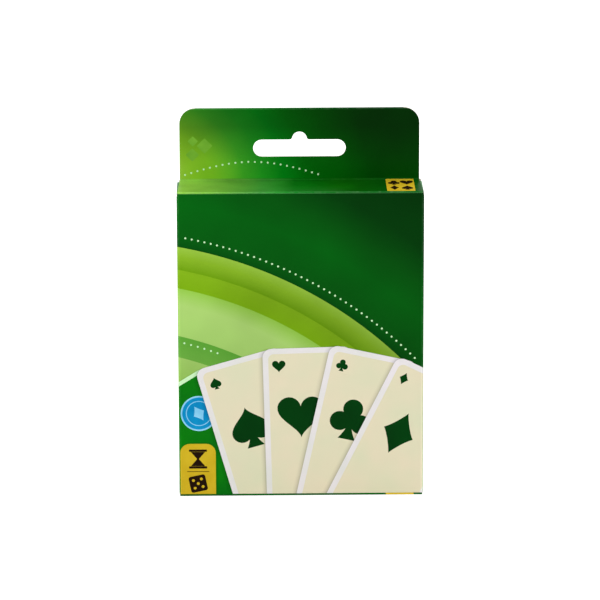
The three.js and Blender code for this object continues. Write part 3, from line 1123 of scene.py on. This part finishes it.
@dataclass
class Sleeve:
    """The four walls and the seam flap, one strip of board folded round, with the tab's rear layer."""

    size: CartonFrame
    slot: HangSlot
    fold: float = 0.55
    foot_corner: float = 1.3
    top_corner: float = 0.6
    side_corner: float = 1.0
    tab_corner: float = 6.0
    tab_overlap: float = 1.0
    foot_strip: float = 0.8
    dust_strip: float = 0.9
    seam_slack: float = 0.05
    seam_taper: float = 20.0
    lap: float = 0.1
    front_bow: float = 0.3
    side_bow: float = 0.12
    bow_shape: float = 0.8
    # How far down the front's upper cut edge is painted the green of the fold highlight.
    highlight_edge_depth: float = 0.7
    wear_and_highlight: float = 0.16
    patch: Point = (4.0, 9.0)
    badge_inset: float = 0.4
    back_margins: Point = (5.0, 6.0)
    side_mark: float = 6.4
    side_top: float = 92.0
    side_step: float = 12.0

    def __post_init__(self) -> None:
        """Works out the path round the carton, from the left panel's free edge to the seam flap."""
        s = self.size
        seam_x = s.seam_x + self.seam_slack
        self.path = FoldPath([
            (-s.half_width, s.half_depth - self.lap), (-s.half_width, -s.half_depth),
            (s.half_width, -s.half_depth), (s.half_width, s.half_depth), (seam_x, s.half_depth),
            (seam_x, s.seam_y)], self.fold)

    def bow(self, u: float, v: float) -> float:
        """How far a filled carton's walls swell.

        Args:
            u: the place along the path.
            v: the height.

        Returns:
            The swelling outwards.
        """
        marks, amounts = self.path.marks, (self.side_bow, self.front_bow, self.side_bow, 0.0, 0.0)
        up = math.sin(math.pi * min(max(v / self.size.front_top, 0.0), 1.0)) ** self.bow_shape
        for low, high, amount in zip(marks, marks[1:], amounts):
            if low <= u <= high:
                return amount * up * math.sin(math.pi * (u - low) / (high - low))
        return 0.0

    def print_place(self, u: float, v: float) -> Point:
        """The print's own coordinates: the front panel's middle is at nought."""
        return (u - self.path.marks[1] - self.size.half_width, v)

    def edge_at(self, u: float, v: float) -> Ink:
        """The finish of the cut edge: the front panel's upper edge is painted the green of the lid fold's
        highlight.
        """
        on_front = self.path.marks[1] < u < self.path.marks[2]
        return Ink.RUBBED if on_front and v > self.size.front_top - self.highlight_edge_depth else Ink.CORE

    def print_front(self, panel: Panel) -> None:
        """Prints the face: a fan of cards, and the badge over a patch of the card back's green.

        Args:
            panel: the front panel.
        """
        CardFan().print_on(panel)
        left = -self.size.half_width
        panel.add(Ink.CARD_BACK, rounded(left, 0, left + self.patch[0], self.patch[1]))
        Badge(left + self.badge_inset).print_on(panel)

    def print_side(self, panel: Panel, ink: Ink) -> None:
        """Prints a side in the given ink: one small suit above another on the field."""
        for index, suit in enumerate(Suit):
            panel.suit(ink, suit, self.side_mark, (0.0, self.side_top - self.side_step * index))

    @staticmethod
    def wall(middle: float, outline: Outline) -> Panel:
        """A wall of the sleeve, whose print is placed from the wall's own middle line."""
        return Panel(outline, Ink.FIELD, lambda p: (middle + p[0], p[1]))

    def rear_outline(self, middle: float) -> Outline:
        """The back panel and the tab's rear layer, which ends where the fold over its top begins.

        Args:
            middle: where the back's middle lies along the sheet.

        Returns:
            The outline on the unfolded sheet.
        """
        s, (start, end) = self.size, self.path.marks[3:5]
        edge, top = s.tab_half - self.tab_corner, s.full_height - self.tab_corner
        outline = [(start, 0.0), (end, 0.0), (end, s.height), (middle + s.tab_half, s.height)]
        outline += arc((middle + edge, top), self.tab_corner, 0, 90, 10)
        outline += [(middle + side * edge, s.full_height - self.tab_overlap) for side in (1, -1)]
        outline += arc((middle - edge, top), self.tab_corner, 90, 180, 10)
        return outline + [(middle - s.tab_half, s.height), (start, s.height)]

    def build(self) -> bpy.types.Object:
        """Cuts, prints and folds the sleeve.

        Returns:
            The sleeve.
        """
        s = self.size
        marks = self.path.marks
        front_middle, back_middle = marks[1] + s.half_width, marks[3] + s.half_width
        low, high = s.dust_foot + self.dust_strip, s.dust_top - self.dust_strip
        rise = (s.half_depth - s.board - s.seam_y) * math.tan(math.radians(self.seam_taper))
        foot = self.foot_corner - self.foot_strip
        left = self.wall(marks[1] / 2, rounded(
            0.0, low, marks[1], high, (self.side_corner, 0, 0, self.side_corner)))
        front = self.wall(front_middle, rounded(
            marks[1], self.foot_strip, marks[2], s.front_top, (foot, foot, self.top_corner, self.top_corner)))
        right = self.wall(marks[2] + (marks[3] - marks[2]) / 2, rounded(marks[2], low, marks[3], high))
        back = self.wall(back_middle, self.rear_outline(back_middle))
        flap = Panel([(marks[4], s.seam_foot), (marks[5], s.seam_foot + rise), (marks[5], s.seam_top - rise),
                      (marks[4], s.seam_top)], Ink.INSIDE)
        self.print_side(left, Ink.GLYPH)
        self.print_front(front)
        self.print_side(right, Ink.MINT)
        BackPrint(s.half_width - self.back_margins[0], s.height - self.back_margins[1]).print_on(back)
        made = FoldedSheet(
            "carton_sleeve", self.path, along_z, [left, front, right, back, flap], s.board,
            [self.slot.outline(s.height, back_middle)], self.bow, self.print_place, edge_at=self.edge_at,
            wear_and_highlight=self.wear_and_highlight).build()
        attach(made, "carton")
        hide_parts("front_panel", "back_panel", "left_side_panel", "right_side_panel", "seam_flap")
        return made


@dataclass
class HangTab:
    """The tab's front layer: the board folded over the top of the back panel and glued down its front."""

    size: CartonFrame
    slot: HangSlot
    sleeve: Sleeve
    crease_strip: float = 0.6
    glue_gap: float = 0.02
    wear_and_highlight: float = 0.3
    lozenges: tuple[tuple[Point, float], ...] = (
        ((-40.0, 132.6), 1.4), ((-35.6, 130.8), 2.1), ((-40.2, 127.4), 1.8))
    lozenge_corner: float = 0.3

    def __post_init__(self) -> None:
        """Works out the path: up the rear, over the top and down the front."""
        s = self.size
        self.path = FoldPath([
            (s.half_depth, s.full_height - self.sleeve.tab_overlap), (s.half_depth, s.full_height),
            (s.tab_front, s.full_height), (s.tab_front, s.height + self.crease_strip)],
            (s.half_depth - s.tab_front) / 2)
        self.top_middle = (self.path.marks[1] + self.path.marks[2]) / 2

    def on_sheet(self, point: Point) -> Point:
        """Turns a point of the tab's front into a point of the unfolded sheet."""
        return (self.path.marks[2] + self.size.full_height - point[1], point[0])

    def print_place(self, u: float, v: float) -> Point:
        """The print's own coordinates: the front's place, or behind the fold that of the sleeve's rear.

        Args:
            u: the place along the path.
            v: the place across.

        Returns:
            The place across and up.
        """
        s = self.size
        if u < self.top_middle:
            return (self.sleeve.print_place(self.sleeve.path.marks[3] + s.half_width - v, 0.0)[0],
                    s.full_height - self.sleeve.tab_overlap + u)
        return (v, s.full_height + self.path.marks[2] - u)

    def build(self) -> bpy.types.Object:
        """Cuts the layer, prints a few faint lozenges at the left of its fade, and folds it.

        Returns:
            The tab's front layer.
        """
        s = self.size
        corner = self.sleeve.tab_corner
        straight = s.tab_half - corner
        top, foot = self.path.marks[2:]
        outline = [(0.0, -straight), (0.0, straight), (top, straight)]
        outline += arc((top + corner, straight), corner, 180, 90, 10)[1:]
        outline += [(foot, s.tab_half), (foot, -s.tab_half)]
        outline += arc((top + corner, -straight), corner, 270, 180, 10)
        panel = Panel(outline, Ink.TAB, self.on_sheet)
        # The field's print runs over the fold from the rear. This outline is already one on the sheet.
        beyond = s.tab_half + OVERRUN
        panel.layers.append((Ink.FIELD, rounded(-OVERRUN, -beyond, self.top_middle, beyond)))
        for at, half in self.lozenges:
            panel.add(Ink.LIME, centred(2 * half, 2 * half, self.lozenge_corner), at, 45)
        hole = [self.on_sheet(p) for p in self.slot.outline(s.height)]
        made = FoldedSheet("hang_tab_face", self.path, along_x, [panel], s.board - self.glue_gap, [hole],
                           print_place=self.print_place, wear_and_highlight=self.wear_and_highlight).build()
        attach(made, "carton")
        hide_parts("hang_tab_front")
        return made


@dataclass
class Closure:
    """A lid or base: its panel is folded at one crease and its tuck flap at another.

    The patch is given across the panel and along it from its start, and so are the suits' middles.
    """

    size: CartonFrame
    name: str
    slot: str
    ink: Ink
    crease: Point
    fold_y: float
    crease_half: float
    crease_strip: float
    patch: tuple[Point, Point]
    suits: tuple[tuple[float, float, Suit], ...] = ()
    suit_size: float = 4.6
    suit_stretch: float = 1.5
    crease_wear_and_highlight: float = 0.2
    crease_fold: float = 0.3
    tuck_half: float = 44.35
    tuck_corner: float = 8.0
    tuck_length: float = 12.0
    tuck_lean: float = 3.0
    notch: Point = (0.1, 0.9)
    seam: float = 0.95
    fold: float = 0.45
    wear_and_highlight: float = 0.5

    def __post_init__(self) -> None:
        """Works out both paths, which meet at a seam just before the tuck flap's fold."""
        (y, z), end = self.crease, self.fold_y
        inward = math.copysign(1.0, y - end)
        lean, length = math.radians(self.tuck_lean), inward * self.tuck_length
        seam = (end + inward * self.seam, z)
        tip = (end + length * math.sin(lean), z - length * math.cos(lean))
        self.panel_path = FoldPath([(y, z + self.crease_strip), (y, z), seam], self.crease_fold)
        self.tuck_path = FoldPath([seam, (end, z), tip], self.fold)

    def panel(self) -> bpy.types.Object:
        """The panel, from a strip on the carton across its crease to the tuck flap's fold.

        Returns:
            The panel.
        """
        s, path = self.size, self.panel_path
        start, mark, end = path.marks
        crease, wide = self.crease_half, s.lid_half
        outline = [(start, crease), (start, -crease), (mark, -crease), (end, -wide), (end, wide),
                   (mark, crease)]
        panel = Panel(outline, self.ink, lambda p: (-p[1], p[0]))
        (left, right), (rear, front) = self.patch
        panel.add(Ink.BADGE, rounded(left, -front, right, -rear))
        for x, u, suit in self.suits:
            for outline in suit.outlines(self.suit_size):
                panel.add(Ink.MARK, [(a, b * self.suit_stretch) for a, b in outline], (x, -u))
        made = FoldedSheet(f"{self.name}_panel_board", path, along_x, [panel], s.board,
                           print_place=lambda u, v: (v, u), wear_and_highlight=self.crease_wear_and_highlight).build()
        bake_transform(made)
        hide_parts(f"{self.name}_panel")
        return made

    def tuck(self) -> bpy.types.Object:
        """The tuck flap with the fold that joins it to the panel.

        Returns:
            The flap.
        """
        s, path = self.size, self.tuck_path
        _, mark, end = path.marks
        (shoulder, notch), half, corner = self.notch, self.tuck_half, self.tuck_corner
        outline = [(0.0, s.lid_half), (0.0, -s.lid_half), (mark + shoulder, -s.lid_half),
                   (mark + notch, -half)]
        outline += [(u, v) for v, u in arc((-half + corner, end - corner), corner, 180, 90, 10)]
        outline += [(u, v) for v, u in arc((half - corner, end - corner), corner, 90, 0, 10)]
        outline += [(mark + notch, half), (mark + shoulder, s.lid_half)]
        shift = self.panel_path.marks[2] - self.panel_path.marks[1]
        made = FoldedSheet(f"{self.name}_tuck_board", path, along_x, [Panel(outline, self.ink)], s.board,
                           print_place=lambda u, v: (v, u + shift), wear_and_highlight=self.wear_and_highlight).build()
        points = [path.at(mark + side * path.tangents[0])[0] for side in (-1, 1)]
        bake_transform(made)
        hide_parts(f"{self.name}_tuck_flap")
        return made


def closures(size: CartonFrame) -> list[Closure]:
    """The lid, with a patch of suits at its right, and the base, with a bare patch at its right.

    Args:
        size: the carton's planes.

    Returns:
        Both closures, the lid first.
    """
    return [
        Closure(size, "lid", "lid_board", Ink.LID, crease=(size.tab_front, size.height),
                fold_y=size.lid_front, crease_half=size.tab_half, crease_strip=0.6,
                patch=((32.3, 42.8), (0.6, 30.0)), suits=(
                    (35.2, 6.4, Suit.CLUB), (40.0, 6.4, Suit.HEART), (35.2, 14.6, Suit.DIAMOND),
                    (40.0, 14.6, Suit.SPADE)), crease_wear_and_highlight=0.05),
        Closure(size, "base", "printed_board", Ink.REAR, crease=(-size.half_depth, 0.0),
                fold_y=size.base_back, crease_half=size.lid_half, crease_strip=0.8,
                patch=((32.0, 42.5), (0.0, 30.0)))]


@dataclass
class DustFlap:
    """One of the four dust flaps, bent over from a side panel's end."""

    size: CartonFrame
    closure: str
    side: str
    strip: float = 0.9
    length: float = 16.0
    tuck_inset: float = 1.9
    crease_inset: float = 0.9
    crease_notch: float = 0.3
    tuck_taper: float = 9.0
    crease_taper: float = 20.0
    tip: float = 2.0
    tip_cut: Point = (0.3, 0.6)
    fold: float = 0.45
    print_bleed: float = 3.5
    wear_and_highlight: float = 0.5
    blend_reach: float = 0.5

    def build(self) -> bpy.types.Object:
        """Cuts and folds the flap, bare but for the ink that runs on past its crease.

        Returns:
            The flap.
        """
        s = self.size
        inward = 1 if self.side == "left" else -1
        up = 1 if self.closure == "lid" else -1
        crease = s.dust_top if up > 0 else s.dust_foot
        x = -inward * s.half_width
        corners = [(x, crease - up * self.strip), (x, crease), (x + inward * self.length, crease)]
        starts_at_tip = inward * up > 0
        path = FoldPath(corners[::-1] if starts_at_tip else corners, self.fold)
        inner = s.half_depth - s.board
        reach = self.length - s.board
        low, high = -inner + self.tuck_inset, inner - self.crease_inset
        low_tip = low + math.tan(math.radians(self.tuck_taper)) * reach
        high_tip = high - math.tan(math.radians(self.crease_taper)) * reach
        start, end, (cut, side_cut) = self.strip + s.board, self.strip + self.length, self.tip_cut
        outline = [(0.0, -inner), (0.0, inner), (self.strip, inner - self.crease_notch), (start, high)]
        outline += [(end - self.tip, high_tip), (end - cut, high_tip - side_cut), (end, high_tip - self.tip)]
        outline += [(end, low_tip + self.tip), (end - cut, low_tip + side_cut), (end - self.tip, low_tip)]
        outline += [(start, low), (self.strip, -inner + self.crease_notch)]
        bleed = self.strip + self.print_bleed
        printed = rounded(-OVERRUN, -inner - OVERRUN, bleed, inner + OVERRUN)
        outline, printed = ([(end - u if starts_at_tip else u, up * v) for u, v in points]
                            for points in (outline, printed))
        panel = Panel(outline, Ink.WHITE)
        panel.add(Ink.REAR, printed)
        made = FoldedSheet(f"{self.closure}_dust_board_{self.side}", path, along_y, [panel], s.board,
                           wear_and_highlight=self.wear_and_highlight).build()
        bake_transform(made)
        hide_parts(f"{self.closure}_dust_flap_{self.side}")
        return made


# Repeated print and the contents, made by rules in Geometry Nodes


class Rule:
    """A Geometry Nodes tree with named inputs, whose result is kept as a plain mesh."""

    SOCKETS = {int: "NodeSocketInt", float: "NodeSocketFloat", tuple: "NodeSocketVector"}

    def __init__(self, name: str, values: dict[str, int | float | tuple[float, float, float]]) -> None:
        """Starts the tree.

        Args:
            name: the tree's name.
            values: each input's value by the input's name.
        """
        self.tree = bpy.data.node_groups.new(name, "GeometryNodeTree")
        for way in ("INPUT", "OUTPUT"):
            self.tree.interface.new_socket("Geometry", in_out=way, socket_type="NodeSocketGeometry")
        self.values = {self.tree.interface.new_socket(
            label, in_out="INPUT", socket_type=self.SOCKETS[type(value)]).identifier: value
            for label, value in values.items()}
        self.inputs = add_node(self.tree, "NodeGroupInput").outputs

    def apply(self, mesh: bpy.types.Mesh, laid: bpy.types.Node, ink: Ink, name: str) -> bpy.types.Object:
        """Ends the tree with real, dressed geometry, and runs it.

        Args:
            mesh: what the tree starts from.
            laid: the node that lays the copies.
            ink: their finish.
            name: the finished piece's name.

        Returns:
            The finished piece, a plain mesh.
        """
        real = add_node(self.tree, "GeometryNodeRealizeInstances", {"Geometry": laid})
        dressed = add_node(self.tree, "GeometryNodeSetMaterial", {"Geometry": real, "Material": surface(ink)})
        add_node(self.tree, "NodeGroupOutput", {"Geometry": dressed})
        source = new_object(mesh.name, mesh)
        modifier = source.modifiers.new("rule", "NODES")
        modifier.node_group = self.tree
        for identifier, value in self.values.items():
            modifier[identifier] = value
        bpy.context.view_layer.update()
        result = bpy.data.meshes.new_from_object(source.evaluated_get(bpy.context.evaluated_depsgraph_get()))
        result.name = name
        source.modifiers.remove(modifier)
        bpy.data.objects.remove(source)
        return new_object(name, result)


@dataclass
class DotLines:
    """Printed dots along arcs of the front face and a wave of the hang tab.

    Each arc has its radius about the stripes' centre and its ends from the front's left side.
    """

    size: CartonFrame
    sleeve: Sleeve
    radius: float = 0.37
    pitch: float = 2.4
    film: float = 0.02
    arcs: tuple[tuple[float, float, float], ...] = ((163.6, 2.4, 89.0), (124.0, 1.8, 16.0))
    wave_left: int = -44
    wave_length: int = 52
    wave_foot: float = 1.8
    wave_rise: float = 5.2

    def routes(self) -> list[list[Vector]]:
        """The curves that the dots follow, on the outer faces.

        Returns:
            One list of points for each curve.
        """
        s = self.size
        middle = self.sleeve.path.marks[1] + s.half_width
        routes = [[Vector((x, -s.half_depth - self.sleeve.bow(middle + x, z), z))
                   for x, z in arc(STRIPE_CENTRE, radius, 90.0, 30.0, 90) if left < x + s.half_width < right]
                  for radius, left, right in self.arcs]
        routes.append([Vector((x, s.tab_front, s.height + self.wave_foot + self.wave_rise * math.sin(
            math.pi * (x - self.wave_left) / self.wave_length)))
            for x in range(self.wave_left + 1, self.wave_left + self.wave_length)])
        return routes

    def build(self) -> bpy.types.Object:
        """Lays a thin round film of ink at each step along the curves.

        Returns:
            The dots.
        """
        rule = Rule("printed_dots", {
            "Pitch": self.pitch * MM, "Radius": self.radius * MM, "Film": self.film * MM})
        tree, size = rule.tree, rule.inputs
        curve = add_node(tree, "GeometryNodeMeshToCurve", {"Mesh": size["Geometry"]})
        steps = add_node(tree, "GeometryNodeResampleCurve", {
            "Curve": curve, "Length": size["Pitch"]}, mode="LENGTH")
        dot = add_node(tree, "GeometryNodeMeshCylinder", {
            "Vertices": 14, "Radius": size["Radius"], "Depth": size["Film"]})
        laid = add_node(tree, "GeometryNodeInstanceOnPoints", {
            "Points": steps, "Instance": dot, "Rotation": (math.pi / 2, 0.0, 0.0)})
        points: list[Vector] = []
        edges: list[tuple[int, int]] = []
        for route in self.routes():
            edges += [(len(points) + i, len(points) + i + 1) for i in range(len(route) - 1)]
            points += [p * MM for p in route]
        mesh = bpy.data.meshes.new("dot_routes")
        mesh.from_pydata(points, edges, [])
        made = rule.apply(mesh, laid, Ink.MINT, "printed_dots")
        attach(made, "carton")
        return made


@dataclass
class Deck:
    """A deck on its long edge: every card by itself, each slipped a little, with a paper band round it."""

    level: str
    seed: int
    cards: int = 52
    card_length: float = 87.0
    card_width: float = 56.0
    corner: float = 3.5
    air: float = 0.03
    slip: float = 0.45
    lift: float = 0.12
    band_width: float = 20.0
    band_thickness: float = 0.12
    band_gap: float = 0.1
    band_fold: float = 0.25
    lap: float = 14.0
    lap_gap: float = 0.02

    @staticmethod
    def lay_cards(rule: Rule) -> bpy.types.Node:
        """Draws one closed card and lays it at every step, slipped by chance.

        Args:
            rule: the tree and its inputs.

        Returns:
            The node that lays the cards.
        """
        tree, size = rule.tree, rule.inputs
        edge = add_node(tree, "GeometryNodeCurvePrimitiveQuadrilateral", {
            "Width": size["Length"], "Height": size["Width"]})
        fillet = add_node(tree, "GeometryNodeFilletCurve", {
            "Curve": edge, "Radius": size["Corner"], "Count": 4}, mode="POLY")
        face = add_node(tree, "GeometryNodeFillCurve", {"Curve": fillet}, mode="NGONS")
        thick = add_node(tree, "ShaderNodeMath", {0: size["Pitch"], 1: size["Air"]}, operation="SUBTRACT")
        card = add_node(tree, "GeometryNodeExtrudeMesh", {
            "Mesh": face, "Offset Scale": thick, "Individual": False}, mode="FACES")
        under = add_node(tree, "GeometryNodeFlipFaces", {"Mesh": face})
        closed = add_node(tree, "GeometryNodeJoinGeometry", {0: [card, under]})
        welded = add_node(tree, "GeometryNodeMergeByDistance", {"Geometry": closed, "Distance": 0.001 * MM})
        step = add_node(tree, "ShaderNodeCombineXYZ", {"Y": size["Pitch"]})
        row = add_node(tree, "GeometryNodeMeshLine", {"Count": size["Cards"], "Offset": step}, mode="OFFSET")
        back = add_node(tree, "ShaderNodeVectorMath", {0: size["Slip"], "Scale": -1.0}, operation="SCALE")
        chance = add_node(tree, "FunctionNodeRandomValue", {
            0: back, 1: size["Slip"], "Seed": size["Seed"]}, data_type="FLOAT_VECTOR")
        slipped = add_node(tree, "GeometryNodeSetPosition", {"Geometry": row, "Offset": chance})
        return add_node(tree, "GeometryNodeInstanceOnPoints", {
            "Points": slipped, "Instance": welded, "Rotation": (-math.pi / 2, 0.0, 0.0)})

    def build(self) -> list[bpy.types.Object]:
        """Stacks the cards where the CAD deck stands and wraps the band round them.

        Returns:
            The cards and the band.
        """
        low, high = (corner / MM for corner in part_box(f"deck_{self.level}"))
        rule = Rule("deck_of_cards", {
            "Cards": self.cards, "Pitch": (high.y - low.y) / self.cards * MM, "Length": self.card_length * MM,
            "Width": (self.card_width - 2 * self.lift) * MM, "Corner": self.corner * MM, "Air": self.air * MM,
            "Slip": (self.slip * MM, 0.0, self.lift * MM), "Seed": self.seed})
        start = bpy.data.meshes.new("deck_start")
        cards = rule.apply(start, self.lay_cards(rule), Ink.STOCK, f"cards_{self.level}")
        middle = Vector(((low.x + high.x) / 2, low.y, (low.z + high.z) / 2)) * MM
        cards.data.transform(Matrix.Translation(middle))
        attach(cards, "carton")
        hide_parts(f"deck_{self.level}")
        return [cards, self.band(low, high)]

    def band(self, low: Vector, high: Vector) -> bpy.types.Object:
        """The paper band, closed with a lap on the deck's front.

        Args:
            low: the deck's lowest corner.
            high: its highest corner.

        Returns:
            The band.
        """
        out = self.band_gap + self.band_thickness
        front, back = low.y - out, high.y + out
        foot, top = low.z - out, high.z + out
        middle = (foot + top) / 2
        outside = front - self.band_thickness - self.lap_gap
        path = FoldPath([
            (front, middle + self.lap / 2), (front, foot), (back, foot), (back, top), (outside, top),
            (outside, middle - self.lap / 2)], self.band_fold, 4)
        half = self.band_width / 2
        strip = Panel(rounded(0.0, -half, path.marks[-1], half), Ink.BADGE)
        made = FoldedSheet(
            f"paper_band_{self.level}", path, along_x, [strip], self.band_thickness,
            print_place=lambda u, v: (v, u), grid=5.0, wear_and_highlight=0.4, inside=Ink.WHITE,
            edge_at=lambda u, v: Ink.WHITE).build()
        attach(made, "carton")
        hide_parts(f"deck_band_{self.level}")
        return made


@dataclass
class Leaflet:
    """The rules: two sheets, one folded inside the other, so that their free edges step."""

    leaf: float = 0.15
    step: float = 0.9
    inset: float = 0.2
    fold_gap: float = 0.02

    def build(self) -> bpy.types.Object:
        """Folds both sheets and joins them.

        Returns:
            The leaflet.
        """
        low, high = (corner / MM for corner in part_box("rules_leaflet"))
        sheets = []
        for index in range(2):
            inset = self.inset * index
            front, back = low.y + inset, high.y - inset
            fold, free = low.x + inset, high.x - self.step * (1 - index)
            path = FoldPath([(free, back), (fold, back), (fold, front), (free - self.step / 2, front)],
                            (back - front) / 2 - self.fold_gap, 5)
            page = Panel(rounded(0.0, low.z, path.marks[-1], high.z), Ink.WHITE)
            sheets.append(FoldedSheet(
                f"leaflet_sheet_{index}", path, along_z, [page], self.leaf, inside=Ink.WHITE,
                edge_at=lambda u, v: Ink.WHITE, grid=14.0, wear_and_highlight=0.2).build())
        made, other = sheets
        joined = bmesh.new()
        for sheet in sheets:
            joined.from_mesh(sheet.data)
        joined.to_mesh(made.data)
        joined.free()
        bpy.data.objects.remove(other)
        made.name = "folded_rules"
        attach(made, "carton")
        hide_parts("rules_leaflet")
        return made


# The studio


@dataclass
class Studio:
    """A plain pale floor, soft light from all round and a long lens at the photograph's angle."""

    lens_mm: float = 239.16
    sensor_mm: float = 36.0
    clip_mm: Point = (50.0, 20000.0)
    distance_mm: float = 1500.0
    pitch: float = 14.73
    yaw: float = 0.91
    roll: float = -0.15
    aim_mm: tuple[float, float, float] = (-0.1, 0.0, 73.5)
    fill: float = 0.5
    floor_colour: str = "ECECEA"
    floor_reach_mm: float = 3000.0
    floor_drop_mm: float = 0.05
    floor_lift: float = 0.5
    floor_fade_mm: Point = (500.0, 2400.0)
    lamps: tuple[tuple[str, tuple[float, float, float], float, float], ...] = (
        ("key_lamp", (-700.0, -1100.0, 1100.0), 900.0, 11.0),
        ("side_lamp", (1100.0, -700.0, 700.0), 900.0, 4.5),
        ("top_lamp", (0.0, 200.0, 1500.0), 1000.0, 7.0),
        ("rear_lamp", (300.0, 1300.0, 700.0), 1000.0, 5.0),
    )

    def camera(self) -> None:
        """Places the camera and makes it the scene's."""
        yaw, pitch, roll = (math.radians(a) for a in (self.yaw, self.pitch, self.roll))
        ahead = Vector((math.sin(yaw) * math.cos(pitch), math.cos(yaw) * math.cos(pitch), -math.sin(pitch)))
        right = Vector((math.cos(yaw), -math.sin(yaw), 0.0))
        up = right.cross(ahead)
        c, s = math.cos(roll), math.sin(roll)
        right, up = c * right + s * up, -s * right + c * up
        data = bpy.data.cameras.new("camera")
        data.lens, data.sensor_width = self.lens_mm, self.sensor_mm
        data.clip_start, data.clip_end = (distance * MM for distance in self.clip_mm)
        camera = new_object("camera", data)
        turn = Matrix((right, up, -ahead)).transposed().to_4x4()
        camera.matrix_world = Matrix.Translation((Vector(self.aim_mm) - ahead * self.distance_mm) * MM) @ turn
        bpy.context.scene.camera = camera

    @staticmethod
    def seen_directly(tree: bpy.types.NodeTree) -> bpy.types.Node:
        """One where the camera, a reflection or a clear body sees the surface.

        Args:
            tree: the nodes to add to.

        Returns:
            The node that gives it.
        """
        rays = add_node(tree, "ShaderNodeLightPath").outputs
        seen = rays["Is Camera Ray"]
        for kind in ("Is Glossy Ray", "Is Transmission Ray"):
            seen = add_node(tree, "ShaderNodeMath", {0: seen, 1: rays[kind]}, operation="MAXIMUM")
        return seen

    def floor(self) -> None:
        """Lays the floor: pale, and lifted to white where it is seen, so that only the shadow shows.

        It turns clear far from the object.
        """
        reach, low = self.floor_reach_mm * MM, -self.floor_drop_mm * MM
        mesh = bpy.data.meshes.new("studio_floor")
        mesh.from_pydata([(x, y, low) for x, y in centred(2 * reach, 2 * reach)], [], [(0, 1, 2, 3)])
        material, tree, place = new_material("pale_floor")
        matt = add_node(tree, "ShaderNodeBsdfDiffuse", {"Color": linear(self.floor_colour)})
        lift = add_node(tree, "ShaderNodeMath", {0: self.seen_directly(tree), 1: self.floor_lift},
                        operation="MULTIPLY")
        glow = add_node(tree, "ShaderNodeEmission", {"Color": linear("FFFFFF"), "Strength": lift})
        both = add_node(tree, "ShaderNodeAddShader", {0: matt, 1: glow})
        away = add_node(tree, "ShaderNodeVectorMath", {0: place}, operation="LENGTH")
        fade = add_node(tree, "ShaderNodeMapRange", {
            "Value": away, "From Min": self.floor_fade_mm[0] * MM, "From Max": self.floor_fade_mm[1] * MM},
            interpolation_type="SMOOTHSTEP")
        clear = add_node(tree, "ShaderNodeBsdfTransparent")
        mixed = add_node(tree, "ShaderNodeMixShader", {0: fade, 1: both, 2: clear})
        add_node(tree, "ShaderNodeOutputMaterial", {"Surface": mixed})
        mesh.materials.append(material)
        floor = new_object("studio_floor", mesh)

    def world(self) -> None:
        """Gives the room an even pale fill, seen as white."""
        world = bpy.data.worlds.new("studio")
        bpy.context.scene.world = world
        world.use_nodes = True
        tree = world.node_tree
        tree.nodes.clear()
        room, white = (add_node(tree, "ShaderNodeBackground", {
            "Color": linear("FFFFFF"), "Strength": strength}) for strength in (self.fill, 1.0))
        mix = add_node(tree, "ShaderNodeMixShader", {0: self.seen_directly(tree), 1: room, 2: white})
        add_node(tree, "ShaderNodeOutputWorld", {"Surface": mix})

    def light(self) -> None:
        """Hangs the soft lamps."""
        for name, place, size, power in self.lamps:
            data = bpy.data.lights.new(name, "AREA")
            data.size, data.energy = size * MM, power
            lamp = new_object(name, data)
            lamp.location = Vector(place) * MM
            lamp.rotation_mode = "QUATERNION"
            lamp.rotation_quaternion = (Vector(self.aim_mm) * MM - lamp.location).to_track_quat("-Z", "Y")

    def build(self) -> None:
        """Sets up the whole studio and plain colour display."""
        self.camera()
        self.floor()
        self.world()
        self.light()
        bpy.context.scene.view_settings.view_transform = "Standard"


def main() -> None:
    """Builds the box piece by piece, then the studio."""
    logging.basicConfig(level=logging.INFO, format="%(message)s")
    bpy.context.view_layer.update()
    size = CartonFrame.read()
    slot = HangSlot()
    sleeve = Sleeve(size, slot)
    made = [sleeve.build(), HangTab(size, slot, sleeve).build()]
    for closure in closures(size):
        made += [closure.panel(), closure.tuck()]
    for closure_name in ("lid", "base"):
        made += [DustFlap(size, closure_name, side).build() for side in ("left", "right")]
    made.append(DotLines(size, sleeve).build())
    for seed, level in enumerate(("lower", "upper"), start=3):
        made += Deck(level, seed).build()
    made.append(Leaflet().build())
    for piece in made:
        log.info("%s: %d faces", piece.name, len(piece.data.polygons))
    Studio().build()


if __name__ == "__main__":
    main()
